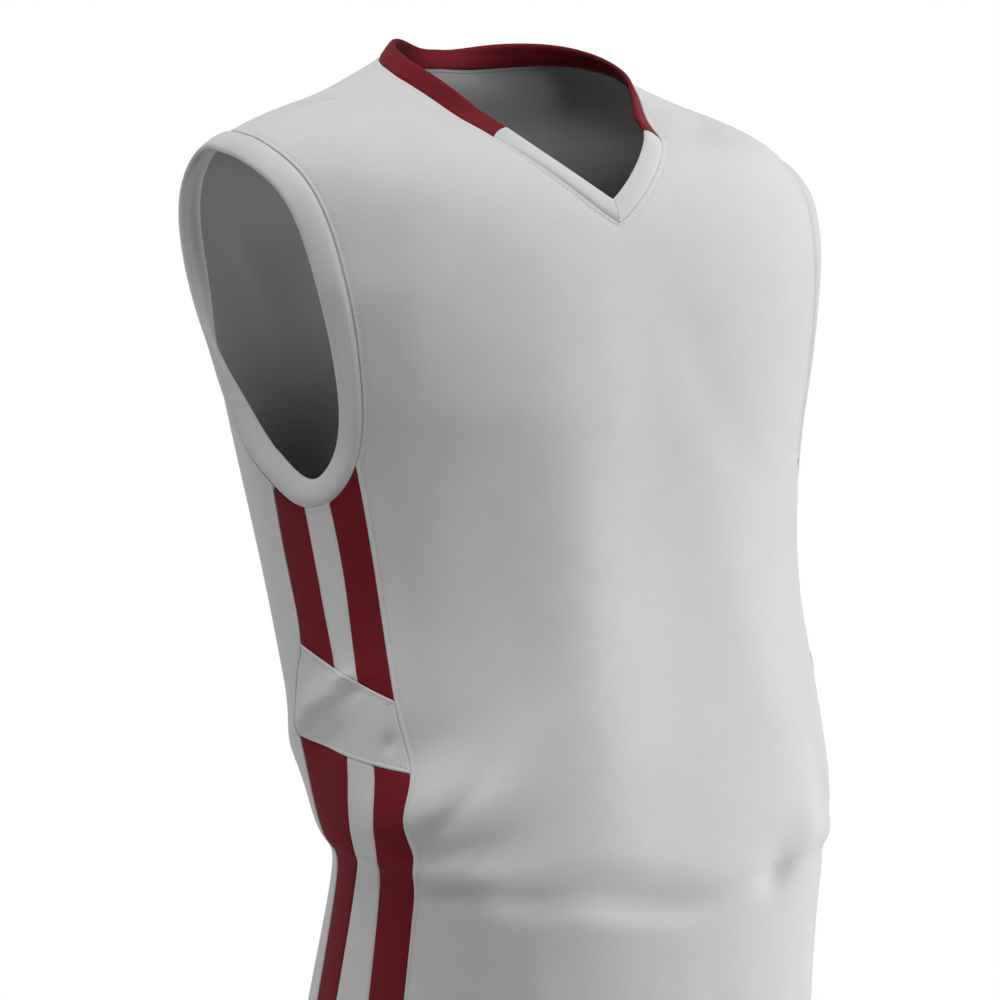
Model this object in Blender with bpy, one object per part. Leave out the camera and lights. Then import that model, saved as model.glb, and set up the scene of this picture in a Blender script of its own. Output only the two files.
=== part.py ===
"""Basketball jersey, kept in the shape it has when worn, as closed solids.

Metres, +Z up.  The front faces -Y and the wearer's left is +X.  The origin is at
the shoulder line, in the middle of the neck, where the wearer's shoulders hold it.

Every panel lies on one garment surface S(angle, level).  The angle goes round the
body from the centre front (0) over the side (90) to the centre back (180).  The
level climbs through the rings of the table below, from the hem to the neck.
"""

import bmesh
import bpy
import numpy as np

CLOTH = 0.0016
SEAM_GAP = 0.0003
BINDING_WIDTH = 0.0183
COLLAR_WIDTH = 0.0142

# Rings of the worn form, in metres, one to each whole level.
# name, z_side, z_front, z_back, half_width, y_front, y_back, squareness
RINGS = (
    ("hem", -0.735, -0.754, -0.716, 0.188, -0.142, 0.082, 2.30),
    ("hip", -0.630, -0.649, -0.611, 0.176, -0.151, 0.076, 2.30),
    ("waist_tuck", -0.523, -0.552, -0.521, 0.175, -0.162, 0.044, 2.12),
    ("blouse", -0.496, -0.517, -0.483, 0.185, -0.158, 0.042, 2.25),
    ("belly", -0.426, -0.450, -0.411, 0.190, -0.140, 0.064, 2.40),
    ("rib", -0.344, -0.364, -0.326, 0.192, -0.117, 0.094, 2.37),
    ("armpit", -0.257, -0.274, -0.238, 0.201, -0.110, 0.122, 2.41),
    ("chest", -0.174, -0.196, -0.153, 0.218, -0.112, 0.134, 2.44),
    ("shoulder_tip", -0.077, -0.103, -0.087, 0.213, -0.096, 0.145, 2.48),
    ("shoulder_mid", -0.034, -0.059, -0.040, 0.139, -0.054, 0.101, 2.41),
    ("neck_root", 0.000, -0.064, -0.010, 0.058, -0.033, 0.098, 2.30),
)

# Armhole seam, round the hole from the top of the shoulder down the front.
# name, angle, level, flare in degrees, stations up to the next row
ARMHOLE = (
    ("strip_front", 87.3, 8.27, -3.0, 3),
    ("strap_front", 64.5, 8.00, 6.0, 3),
    ("chest_high", 52.8, 7.40, -5.0, 3),
    ("chest_low", 52.0, 6.80, -24.0, 3),
    ("front_seam", 57.2, 6.04, -24.0, 3),
    ("front_stripe", 67.1, 5.73, -14.0, 3),
    ("rear_stripe", 76.2, 5.66, -14.0, 3),
    ("rear_seam", 87.0, 5.76, -20.0, 3),
    ("back_low", 101.7, 6.20, -21.0, 3),
    ("back_mid", 118.6, 6.80, 6.0, 3),
    ("back_high", 125.8, 7.48, 16.0, 3),
    ("back_top", 122.6, 8.04, 11.0, 3),
    ("back_strap", 111.5, 8.33, 4.0, 2),
    ("strip_back", 98.1, 8.34, -3.0, 2),
)

# Neck seam, from the point of the V to the centre back.
# name, angle, level, lean in degrees, stations up to the next row
NECK = (
    ("v_point", 0.0, 7.845, -2.0, 2),
    ("v_side", 12.8, 8.49, 10.0, 1),
    ("rib_join", 20.7, 8.83, 18.0, 2),
    ("chest_side", 30.5, 9.145, 25.0, 2),
    ("neck_front", 47.6, 9.435, 31.0, 2),
    ("strip_front", 79.8, 9.573, 35.0, 2),
    ("strip_back", 100.8, 9.623, 33.0, 3),
    ("neck_back", 136.0, 9.80, 22.0, 2),
    ("back_side", 158.0, 9.94, 15.0, 2),
    ("centre_back", 180.0, 9.99, 10.0, 0),
)

# Side seams and the shares of the side panel where its stripes meet.
# level, front_angle, rear_angle, front_share, rear_share
SIDE = (
    (0.0, 65.5, 101.0, 0.35, 0.67),
    (2.0, 66.2, 101.0, 0.37, 0.69),
    (2.7, 62.1, 98.5, 0.32, 0.60),
    (3.4, 58.0, 96.5, 0.285, 0.545),
    (3.9, 55.4, 95.0, 0.28, 0.53),
    (4.5, 56.4, 89.8, 0.34, 0.61),
    (5.2, 56.3, 87.6, 0.32, 0.615),
    (6.04, 57.2, 87.0, 0.33, 0.635),
)
# Largest soft folds over the waist.  Angles below 0 are on the wearer's right.
# name, angle, level, slope in levels a degree, half_length in degrees,
# half_width in levels, height in metres
FOLDS = (
    ("right_trough", -45.0, 3.26, 0.009, 15.0, 0.24, -0.0065),
    ("right_ridge", -46.0, 3.70, 0.010, 13.0, 0.26, 0.0040),
    ("left_dimple", 27.0, 2.52, 0.012, 8.0, 0.22, -0.0045),
    ("left_ridge", 38.0, 2.78, 0.015, 8.0, 0.24, 0.0035),
    ("left_trough", 54.0, 3.35, -0.010, 12.0, 0.24, -0.0045),
    ("back_right_trough", -142.0, 3.20, 0.008, 16.0, 0.26, -0.0060),
    ("back_right_ridge", -140.0, 3.66, 0.008, 14.0, 0.26, 0.0035),
    ("back_left_trough", 150.0, 2.95, -0.009, 17.0, 0.24, -0.0050),
)

BAND_FRONT = (3.85, 4.38)
BAND_REAR = (3.92, 4.62)
LOWER_LEVELS = (0.0, 1.0, 1.8, 2.05, 2.3, 2.55, 2.85, 3.1, 3.35, 3.6)
BAND_ROWS = 3
UPPER_ROWS = 5
STRIPE_COLUMNS = 3
SHOULDER_ROWS = 5
STRIP_COLUMNS = 2
PANEL_EASE = 6.0

# Folded rib: distance from the seam, height above the cloth face, in metres.
BINDING_PROFILE = (
    ("seam_outer", 0.00015, 0.0002),
    ("rise", 0.0022, 0.0013),
    ("crown", 0.0080, 0.0021),
    ("slope", 0.0140, 0.0017),
    ("rim_outer", 0.0174, 0.0006),
    ("rim", 0.0183, -0.0008),
    ("rim_inner", 0.0172, -0.0020),
    ("inner", 0.0110, -0.0025),
    ("inner_low", 0.0040, -0.0022),
    ("seam_inner", 0.00015, -0.0018),
)
COLLAR_PROFILE = (
    ("seam_outer", 0.00015, 0.0002),
    ("rise", 0.0018, 0.0011),
    ("crown", 0.0062, 0.0016),
    ("slope", 0.0108, 0.0013),
    ("rim_outer", 0.0136, 0.0004),
    ("rim", 0.0142, -0.0007),
    ("rim_inner", 0.0134, -0.0018),
    ("inner", 0.0090, -0.0022),
    ("seam_inner", 0.00015, -0.0018),
)

SLOTS = {
    "white_knit": (0.80, 0.80, 0.80),
    "red_knit": (0.165, 0.012, 0.020),
    "white_rib": (0.78, 0.78, 0.78),
    "red_rib": (0.175, 0.014, 0.022),
}


def natural_curve(knots, rows, at):
    """Natural cubic curve through rows at knots, read at the places in `at`."""
    knots = np.asarray(knots, float)
    rows = np.asarray(rows, float)
    at = np.asarray(at, float)
    count = len(knots)
    step = np.diff(knots)
    left = np.eye(count)
    right = np.zeros_like(rows)
    for i in range(1, count - 1):
        left[i, i - 1 : i + 2] = step[i - 1], 2 * (step[i - 1] + step[i]), step[i]
        rise = (rows[i + 1] - rows[i]) / step[i]
        right[i] = 6 * (rise - (rows[i] - rows[i - 1]) / step[i - 1])
    bend = np.linalg.solve(left, right)
    i = np.clip(np.searchsorted(knots, at, side="right") - 1, 0, count - 2)
    h = step[i][..., None]
    b = ((at - knots[i]) / step[i])[..., None]
    a = 1 - b
    curved = ((a**3 - a) * bend[i] + (b**3 - b) * bend[i + 1]) * h * h / 6
    return a * rows[i] + b * rows[i + 1] + curved


RING_VALUES = np.array([row[1:] for row in RINGS])


def fold_height(angle, level):
    """Height of the folds over the smooth form, in metres."""
    height = np.zeros(np.broadcast(angle, level).shape)
    for _, at_angle, at_level, slope, half_length, half_width, rise in FOLDS:
        along = (angle - at_angle) / half_length
        across = (level - at_level - slope * (angle - at_angle)) / half_width
        height = height + rise * np.exp(-(along**2) - across**2)
    return height


def surface(angle, level):
    """Points of the garment surface at angles in degrees and levels of the ring table."""
    level = np.asarray(level, float)
    turned = (np.asarray(angle, float) + 180.0) % 360.0 - 180.0
    fold = fold_height(turned, level)
    angle = np.radians(turned)
    ring = natural_curve(np.arange(len(RINGS)), RING_VALUES, level)
    z_side, z_front, z_back, half_width, y_front, y_back, squareness = np.moveaxis(ring, -1, 0)
    power = 2 / squareness
    forward = np.abs(np.cos(angle)) ** power
    across = np.sign(np.sin(angle)) * np.abs(np.sin(angle)) ** power
    y_side = (y_front + y_back) / 2
    is_front = np.cos(angle) > 0
    y = y_side + np.where(is_front, y_front - y_side, y_back - y_side) * forward
    tilt = (z_back - z_front) / (y_back - y_front)
    front_drop = z_front - (z_side + tilt * (y_front - y_side))
    back_drop = z_back - (z_side + tilt * (y_back - y_side))
    z = z_side + tilt * (y - y_side) + np.where(is_front, front_drop, back_drop) * forward**2
    x = half_width * across
    reach = np.hypot(x, y - y_side)
    return np.stack([x * (1 + fold / reach), y + (y - y_side) * fold / reach, z], -1)


def unit(vectors):
    return vectors / np.linalg.norm(vectors, axis=-1, keepdims=True)


def outward(angle, level):
    """Unit normals of the garment surface, away from the body."""
    angle = np.asarray(angle, float)
    level = np.asarray(level, float)
    round_body = surface(angle + 1.0, level) - surface(angle - 1.0, level)
    upward = surface(angle, level + 0.03) - surface(angle, level - 0.03)
    return unit(np.cross(round_body, upward))


def stations(table, closed):
    """(angle, level, turn) along a seam table, and the index of each named row."""
    rows = np.array([row[1:4] for row in table], float)
    reach = 3 if closed else 0
    padded = np.concatenate([rows[len(rows) - reach :], rows, rows[:reach]])
    places = surface(padded[:, 0], padded[:, 1])
    spacing = np.linalg.norm(np.diff(places, axis=0), axis=1) ** 0.7
    knots = np.concatenate([[0.0], np.cumsum(spacing)])
    at = []
    index = {}
    for i, row in enumerate(table):
        index[row[0]] = len(at)
        steps = row[4]
        if steps == 0:
            at.append(knots[reach + i])
        else:
            start, stop = knots[reach + i : reach + i + 2]
            at.extend(start + (stop - start) * np.arange(steps) / steps)
    return natural_curve(knots, padded, np.array(at)), index


def between(first, last, count):
    """Evenly spaced (angle, level) pairs from first to last, both included."""
    share = np.linspace(0, 1, count)[:, None]
    return np.asarray(first) * (1 - share) + np.asarray(last) * share


def patch(left, right, bottom, top, across, up, ease):
    """Grid of (angle, level) between four edges; rows go up, columns across.

    Each row runs straight from its left to its right end.  The bend of the top and
    bottom edges fades away from them with the power `ease`.
    """
    s = across[:, None]
    t = up[:, None, None]
    rows = (1 - s) * left[:, None] + s * right[:, None]
    top_bend = top - ((1 - s) * top[0] + s * top[-1])
    bottom_bend = bottom - ((1 - s) * bottom[0] + s * bottom[-1])
    return rows + top_bend * t**ease + bottom_bend * (1 - t) ** ease


def shorten(points, normals, edges):
    """Moves the named edges of a grid inwards by half a seam gap, within the cloth."""
    moved = points.copy()
    lines = {
        "bottom": (np.s_[0, :], np.s_[1, :]),
        "top": (np.s_[-1, :], np.s_[-2, :]),
        "left": (np.s_[:, 0], np.s_[:, 1]),
        "right": (np.s_[:, -1], np.s_[:, -2]),
    }
    for edge in edges:
        line, inner = lines[edge]
        along = unit(np.gradient(points[line], axis=0))
        away = np.cross(normals[line], along)
        side = np.sign(np.sum(away * (points[inner] - points[line]), axis=-1, keepdims=True))
        moved[line] += unit(away) * side * SEAM_GAP / 2
    return moved


def on_right(seats):
    """The same places on the wearer's right: the angles change sign."""
    return seats * np.array([-1.0] + [1.0] * (seats.shape[-1] - 1))


def add_solid(name, slot, points, faces):
    """One closed mesh object with its faces outwards and its own material."""
    mesh = bpy.data.meshes.new(name)
    mesh.from_pydata([tuple(p) for p in points], [], faces)
    shell = bmesh.new()
    shell.from_mesh(mesh)
    bmesh.ops.recalc_face_normals(shell, faces=shell.faces)
    shell.to_mesh(mesh)
    shell.free()
    mesh.shade_smooth()
    mesh.set_sharp_from_angle(angle=np.radians(50))
    material = bpy.data.materials.new(f"{slot}_{name}")
    material.use_nodes = True
    shader = material.node_tree.nodes["Principled BSDF"]
    shader.inputs["Base Color"].default_value = (*SLOTS[slot], 1.0)
    shader.inputs["Roughness"].default_value = 0.85
    mesh.materials.append(material)
    bpy.context.scene.collection.objects.link(bpy.data.objects.new(name, mesh))


def add_sheet(name, slot, outer, normals):
    """Panel of cloth: the outer grid, the same grid moved inwards, and the four edges."""
    rows, columns = outer.shape[:2]
    inner = outer - normals * CLOTH
    points = np.concatenate([outer.reshape(-1, 3), inner.reshape(-1, 3)])
    grid = np.arange(rows * columns).reshape(rows, columns)
    under = grid + rows * columns
    faces = []
    for i in range(rows - 1):
        for j in range(columns - 1):
            a, b, c, d = grid[i, j], grid[i, j + 1], grid[i + 1, j + 1], grid[i + 1, j]
            faces.append((int(a), int(b), int(c), int(d)))
            a, b, c, d = under[i, j], under[i, j + 1], under[i + 1, j + 1], under[i + 1, j]
            faces.append((int(d), int(c), int(b), int(a)))
    rim = [*grid[0, :-1], *grid[:-1, -1], *grid[-1, :0:-1], *grid[:0:-1, 0]]
    for k, here in enumerate(rim):
        there = rim[(k + 1) % len(rim)]
        below = rows * columns
        faces.append((int(there), int(here), int(here + below), int(there + below)))
    add_solid(name, slot, points, faces)


def add_pieces(name, slot, grid, edges):
    """A sheet on the wearer's left and its partner on the right, on one grid of seats."""
    for side, seats in (("left", grid), ("right", on_right(grid))):
        points = surface(seats[..., 0], seats[..., 1])
        normals = outward(seats[..., 0], seats[..., 1])
        add_sheet(f"{name}_{side}", slot, shorten(points, normals, edges), normals)


def sweep(seam, closed, profile, width, side):
    """Sections of a folded rib carried along a seam: (stations, profile, 3).

    `side` is 1 on the wearer's left and -1 on the right.
    """
    angle, level, turn = seam.T
    base = surface(angle, level)
    normal = outward(angle, level)
    if closed:
        along = unit(np.roll(base, -1, axis=0) - np.roll(base, 1, axis=0))
    else:
        along = unit(np.gradient(base, axis=0))
    into = unit(np.cross(normal, along)) * side
    normal = unit(np.cross(along, into)) * side
    away = np.array([row[1] for row in profile])
    height = np.array([row[2] for row in profile])
    steps = np.linspace(0, 1, 25)
    bend = 1.35 * np.clip(steps / 0.45, 0, 1) * np.radians(turn)[:, None]
    run = np.cumsum(np.cos(bend), axis=1) * width / 24
    rise = np.cumsum(np.sin(bend), axis=1) * width / 24
    run = run - run[:, :1]
    rise = rise - rise[:, :1]
    sections = np.empty((len(seam), len(profile), 3))
    for k, (u, h) in enumerate(zip(away, height)):
        at = min(int(round(u / width * 24)), 24)
        tilt = bend[:, at][:, None]
        spare = u - at * width / 24
        forward = run[:, at][:, None] + spare * np.cos(tilt) - h * np.sin(tilt)
        upward = rise[:, at][:, None] + spare * np.sin(tilt) + h * np.cos(tilt)
        sections[:, k] = base + into * forward + normal * upward
    return sections, along


def add_rib(name, slot, sections, closed):
    """Closed rib solid through its sections, with flat ends when it isn't a ring."""
    count, size = sections.shape[:2]
    points = sections.reshape(-1, 3)
    faces = []
    for i in range(count if closed else count - 1):
        n = (i + 1) % count
        for k in range(size):
            m = (k + 1) % size
            faces.append((i * size + k, i * size + m, n * size + m, n * size + k))
    if not closed:
        faces.append(tuple(range(size))[::-1])
        faces.append(tuple((count - 1) * size + k for k in range(size)))
    add_solid(name, slot, points, faces)


def side_rows(upper_end_front, upper_end_rear):
    """Levels of the rows at the front seam and at the rear seam, from the hem up."""
    rows = []
    for band, end in ((BAND_FRONT, upper_end_front), (BAND_REAR, upper_end_rear)):
        levels = list(LOWER_LEVELS)
        levels += list(np.linspace(band[0], band[1], BAND_ROWS + 1))
        levels += list(np.linspace(band[1], end, UPPER_ROWS + 1)[1:])
        rows.append(np.array(levels))
    return rows


SIDE_VALUES = np.array([row[1:] for row in SIDE])


def side_values(level):
    return natural_curve([row[0] for row in SIDE], SIDE_VALUES, level)


for old in list(bpy.data.objects):
    bpy.data.objects.remove(old)

arm, arm_at = stations(ARMHOLE, True)
neck, neck_at = stations(NECK, False)
arm_path = arm[:, :2]
neck_path = neck[:, :2]
front_levels, rear_levels = side_rows(
    arm_path[arm_at["front_seam"], 1], arm_path[arm_at["rear_seam"], 1]
)
front_seam = np.stack([side_values(front_levels)[:, 0], front_levels], -1)
rear_seam = np.stack([side_values(rear_levels)[:, 1], rear_levels], -1)
front_seam[-1] = arm_path[arm_at["front_seam"]]
rear_seam[-1] = arm_path[arm_at["rear_seam"]]

# Shoulder strips, between the front and back panels.
strip_front = between(
    neck_path[neck_at["strip_front"]], arm_path[arm_at["strip_front"]], SHOULDER_ROWS + 1
)
strip_back = between(
    neck_path[neck_at["strip_back"]], arm_path[arm_at["strip_back"]], SHOULDER_ROWS + 1
)
neck_end = neck_path[neck_at["strip_front"] : neck_at["strip_back"] + 1]
arm_end = np.concatenate([arm_path[arm_at["strip_back"] :], arm_path[:1]])[::-1]
strip = patch(
    neck_end, arm_end, strip_front, strip_back,
    np.linspace(0, 1, SHOULDER_ROWS + 1), np.linspace(0, 1, STRIP_COLUMNS + 1), 1,
)
add_pieces("shoulder_strip", "white_knit", strip, ("bottom", "top", "left", "right"))


def half_panel(centre_angle, seam, arm_part, top, centre_top, centre_arm):
    """Half of the front or the back, from its centre line to the side seam and armhole.

    `centre_arm` is the level on the centre line of the row that meets the armhole.
    """
    right = np.concatenate([seam, arm_part[1:]])
    low = seam[:, 1] * centre_arm / seam[-1, 1]
    travel = np.linalg.norm(np.diff(surface(arm_part[:, 0], arm_part[:, 1]), axis=0), axis=1)
    share = np.cumsum(travel) / np.sum(travel)
    centre = np.concatenate([low, centre_arm + share * (centre_top - centre_arm)])
    left = np.stack([np.full(len(centre), centre_angle), centre], -1)
    columns = len(top)
    bottom = between((centre_angle, 0.0), right[0], columns)
    across = np.linspace(0, 1, columns)
    return patch(left, right, bottom, top, across, centre / centre_top, PANEL_EASE)


def add_panel(name, half):
    """Whole front or back from the grid of its left half, with the seam edges shortened."""
    other = on_right(half)[:, :0:-1]
    if half[0, 0, 0] > 90:
        other = other + np.array([360.0, 0.0])
    grid = np.concatenate([other, half], axis=1)
    points = surface(grid[..., 0], grid[..., 1])
    normals = outward(grid[..., 0], grid[..., 1])
    add_sheet(name, "white_knit", shorten(points, normals, ("top", "left", "right")), normals)


front_arm = arm_path[: arm_at["front_seam"] + 1][::-1]
front_top = np.concatenate([neck_path[: neck_at["strip_front"] + 1], strip_front[1:]])
front_half = half_panel(0.0, front_seam, front_arm, front_top, neck_path[0, 1], 5.5)
add_panel("front_panel", front_half)

back_arm = arm_path[arm_at["rear_seam"] : arm_at["strip_back"] + 1]
back_top = np.concatenate([neck_path[neck_at["strip_back"] :][::-1], strip_back[1:]])
back_half = half_panel(180.0, rear_seam, back_arm, back_top, neck_path[-1, 1], 5.6)
add_panel("back_panel", back_half)

# Side pieces: two red stripes with a white one between, above and below a cross band.
columns = 3 * STRIPE_COLUMNS
arm_bottom = arm_path[arm_at["front_seam"] : arm_at["rear_seam"] + 1]
side_grid = np.empty((len(front_levels), columns + 1, 2))
for i, (low, high) in enumerate(zip(front_levels, rear_levels)):
    front_share, rear_share = side_values(min(low, 6.0))[2:]
    shares = np.concatenate(
        [
            np.linspace(0, front_share, STRIPE_COLUMNS + 1)[:-1],
            np.linspace(front_share, rear_share, STRIPE_COLUMNS + 1)[:-1],
            np.linspace(rear_share, 1, STRIPE_COLUMNS + 1),
        ]
    )[:, None]
    side_grid[i] = front_seam[i] * (1 - shares) + rear_seam[i] * shares
first_upper = len(LOWER_LEVELS) + BAND_ROWS
sag = arm_bottom - side_grid[-1]
for i in range(first_upper, len(side_grid)):
    climb = (i - first_upper) / (len(side_grid) - 1 - first_upper)
    side_grid[i] += sag * climb**2
first_band = len(LOWER_LEVELS)
ROW_SPANS = (
    ("lower", 0, first_band, ("top",)),
    ("upper", first_upper, len(side_grid) - 1, ("bottom", "top")),
)
COLUMN_SPANS = (
    ("front_stripe", "red_knit"),
    ("centre_stripe", "white_knit"),
    ("rear_stripe", "red_knit"),
)
for zone, low, high, ends in ROW_SPANS:
    for k, (stripe, slot) in enumerate(COLUMN_SPANS):
        part = side_grid[low : high + 1, k * STRIPE_COLUMNS : (k + 1) * STRIPE_COLUMNS + 1]
        add_pieces(f"{stripe}_{zone}", slot, part, ends + ("left", "right"))
band = side_grid[first_band : first_upper + 1]
add_pieces("cross_band", "white_knit", band, ("bottom", "top", "left", "right"))

# Armhole bindings.
for name, seats, side in (("left", arm, 1.0), ("right", on_right(arm), -1.0)):
    binding, _ = sweep(seats, True, BINDING_PROFILE, BINDING_WIDTH, side)
    add_rib(f"armhole_binding_{name}", "white_rib", binding, True)

# Collar: red round the back, white either side of the V, mitred at its point.
join = neck_at["rib_join"]
red = []
for name, seats, side in (("left", neck, 1.0), ("right", on_right(neck), -1.0)):
    collar, along = sweep(seats, False, COLLAR_PROFILE, COLLAR_WIDTH, side)
    collar[-1, :, 0] = 0.0
    white = collar[: join + 1].copy()
    slide = (side * SEAM_GAP / 2 - white[0, :, :1]) / along[0, 0]
    white[0] += along[0] * slide
    white[-1] -= along[join] * SEAM_GAP / 2
    add_rib(f"collar_front_{name}", "white_rib", white, False)
    rest = collar[join:].copy()
    rest[0] += along[join] * SEAM_GAP / 2
    red.append(rest)
add_rib("collar_back", "red_rib", np.concatenate([red[0], red[1][-2::-1]]), False)
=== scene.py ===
# %% [markdown]
# # A basketball jersey in knit cloth
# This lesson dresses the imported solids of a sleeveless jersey.  Every panel becomes a thin
# shell of cloth on the same form, with turned edges, stitching, creases and a knit finish.
# The jersey keeps the hollow shape that it has when worn, tucked in at the waist.
# +X is the wearer's left, the front faces -Y, and the origin is at the shoulders.

import bpy
import numpy as np
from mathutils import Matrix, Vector


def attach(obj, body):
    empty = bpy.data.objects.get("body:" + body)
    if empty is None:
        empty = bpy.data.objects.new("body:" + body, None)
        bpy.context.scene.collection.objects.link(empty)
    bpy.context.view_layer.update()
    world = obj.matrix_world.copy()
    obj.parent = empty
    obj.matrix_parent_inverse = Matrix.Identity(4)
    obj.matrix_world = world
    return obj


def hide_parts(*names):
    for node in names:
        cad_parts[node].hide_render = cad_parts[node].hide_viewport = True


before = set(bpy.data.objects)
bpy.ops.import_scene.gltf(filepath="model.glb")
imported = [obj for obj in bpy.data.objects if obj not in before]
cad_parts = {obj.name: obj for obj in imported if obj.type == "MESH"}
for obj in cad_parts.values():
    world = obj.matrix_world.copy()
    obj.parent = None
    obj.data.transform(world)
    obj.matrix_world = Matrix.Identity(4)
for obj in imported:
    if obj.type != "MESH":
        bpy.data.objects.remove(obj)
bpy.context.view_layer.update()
print("nodes to dress:", len(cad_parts))

# %% [markdown]
# ## The camera and the studio
# A garment is shot from a little above its middle with a long lens, which keeps the shoulders
# and the waist in proportion.  Lights come first because every later look depends on them.
# White cloth shows its form only by soft shading, so large discs of light stand all round it:
# the strong ones in front, at the wearer's left and overhead, the weaker ones behind.

# %% Camera
CAMERA_AT = (-1.6993, -2.3828, -0.1489)
LOOK_AT = (-0.00545, 0.0220, -0.2940)
LENS_MM = 162.4
SENSOR_MM = 36.0

lens = bpy.data.cameras.new("studio_camera")
lens.lens = LENS_MM
lens.sensor_width = SENSOR_MM
lens.clip_end = 50.0
camera = bpy.data.objects.new("studio_camera", lens)
camera.location = CAMERA_AT
sight = Vector(LOOK_AT) - Vector(CAMERA_AT)
camera.rotation_euler = sight.to_track_quat("-Z", "Y").to_euler()
bpy.context.scene.collection.objects.link(camera)
bpy.context.scene.camera = camera
print("camera is", round(sight.length, 3), "m from the jersey")

# %% Soft lights
# name, degrees round from the front towards the wearer's left, degrees up, watts
LIGHTS = (
    ("front_high", -12.0, 40.0, 31.0),
    ("left_high", 45.0, 40.0, 5.0),
    ("front_top", 0.0, 65.0, 11.0),
    ("overhead", 0.0, 88.0, 26.0),
    ("left_low", 60.0, -8.0, 32.0),
    ("left_side", 75.0, -4.0, 37.0),
    ("right_top", -118.0, 65.0, 14.0),
    ("right_back", -120.0, 1.0, 23.0),
    ("behind", -168.0, 8.0, 12.0),
)
LIGHT_CENTRE = Vector((0.0, 0.0, -0.3))
LIGHT_REACH = 3.3
LIGHT_SIZE = 0.9

for name, around, up, power in LIGHTS:
    around, up = np.radians((around, up))
    away = Vector((np.sin(around) * np.cos(up), -np.cos(around) * np.cos(up), np.sin(up)))
    lamp = bpy.data.lights.new(name, "AREA")
    lamp.shape = "DISK"
    lamp.size = LIGHT_SIZE
    lamp.energy = power
    light = bpy.data.objects.new(name, lamp)
    light.location = LIGHT_CENTRE + LIGHT_REACH * away
    light.rotation_euler = away.to_track_quat("Z", "Y").to_euler()
    bpy.context.scene.collection.objects.link(light)
print("lights:", [row[0] for row in LIGHTS])

# %% White surroundings
# The camera sees white all round, but only the discs light the cloth.
world = bpy.data.worlds.new("white_studio")
world.use_nodes = True
nodes, links = world.node_tree.nodes, world.node_tree.links
nodes.clear()
shown = nodes.new("ShaderNodeBackground")
shown.inputs["Color"].default_value = (1.0, 1.0, 1.0, 1.0)
path = nodes.new("ShaderNodeLightPath")
out = nodes.new("ShaderNodeOutputWorld")
links.new(path.outputs["Is Camera Ray"], shown.inputs["Strength"])
links.new(shown.outputs["Background"], out.inputs["Surface"])
bpy.context.scene.world = world
bpy.context.scene.view_settings.view_transform = "Standard"
print("surroundings:", world.name)

# %% [markdown]
# ## The form of the garment
# A jersey on a body is a tube whose outline changes slowly.  A short table gives one ring for
# each height, and a smooth curve through the rows gives every ring between them.  A place on
# the cloth is then just (angle, level): the angle goes round from the centre front, and the
# level climbs from the hem to the neck.

# %% Rings
# name, z_side, z_front, z_back, half_width, y_front, y_back, squareness
RINGS = (
    ("hem", -0.735, -0.754, -0.716, 0.188, -0.142, 0.082, 2.30),
    ("hip", -0.630, -0.649, -0.611, 0.176, -0.151, 0.076, 2.30),
    ("waist_tuck", -0.523, -0.552, -0.521, 0.175, -0.162, 0.044, 2.12),
    ("blouse", -0.496, -0.517, -0.483, 0.185, -0.158, 0.042, 2.25),
    ("belly", -0.426, -0.450, -0.411, 0.190, -0.140, 0.064, 2.40),
    ("rib", -0.344, -0.364, -0.326, 0.192, -0.117, 0.094, 2.37),
    ("armpit", -0.257, -0.274, -0.238, 0.201, -0.110, 0.122, 2.41),
    ("chest", -0.174, -0.196, -0.153, 0.218, -0.112, 0.134, 2.44),
    ("shoulder_tip", -0.077, -0.103, -0.087, 0.213, -0.096, 0.145, 2.48),
    ("shoulder_mid", -0.034, -0.059, -0.040, 0.139, -0.054, 0.101, 2.41),
    ("neck_root", 0.000, -0.064, -0.010, 0.058, -0.033, 0.098, 2.30),
)
RING_VALUES = np.array([row[1:] for row in RINGS])
print("rings from hem to neck:", len(RINGS))

# %% Folds over the waist
# The folds of the solids, some of them set a little lower or steeper.
# name, angle, level, slope in levels a degree, half_length in degrees,
# half_width in levels, height in metres
FOLDS = (
    ("right_trough", -47.0, 3.25, 0.011, 15.0, 0.18, -0.0062),
    ("right_ridge", -47.0, 3.58, 0.015, 13.0, 0.22, 0.0042),
    ("left_dimple", 27.0, 2.52, 0.012, 8.0, 0.22, -0.0045),
    ("left_ridge", 39.0, 3.06, 0.015, 9.0, 0.34, 0.0032),
    ("left_trough", 54.0, 3.35, -0.010, 12.0, 0.24, -0.0045),
    ("back_right_trough", -142.0, 3.20, 0.008, 16.0, 0.26, -0.0060),
    ("back_right_ridge", -140.0, 3.66, 0.008, 14.0, 0.26, 0.0035),
    ("back_left_trough", 150.0, 2.95, -0.009, 17.0, 0.24, -0.0050),
)
print("folds:", [row[0] for row in FOLDS])


# %% Smooth curve through a table
def natural_curve(knots, rows, at):
    """Natural cubic spline: between two knots the value is the straight mix of the two
    rows plus a bend, and the bends are solved so that the slope never jumps."""
    knots = np.asarray(knots, float)
    rows = np.asarray(rows, float)
    at = np.asarray(at, float)
    count = len(knots)
    step = np.diff(knots)
    left = np.eye(count)
    right = np.zeros_like(rows)
    for i in range(1, count - 1):
        left[i, i - 1 : i + 2] = step[i - 1], 2 * (step[i - 1] + step[i]), step[i]
        rise = (rows[i + 1] - rows[i]) / step[i]
        right[i] = 6 * (rise - (rows[i] - rows[i - 1]) / step[i - 1])
    bend = np.linalg.solve(left, right)
    i = np.clip(np.searchsorted(knots, at, side="right") - 1, 0, count - 2)
    h = step[i][..., None]
    b = ((at - knots[i]) / step[i])[..., None]
    a = 1 - b
    curved = ((a**3 - a) * bend[i] + (b**3 - b) * bend[i + 1]) * h * h / 6
    return a * rows[i] + b * rows[i + 1] + curved


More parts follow.
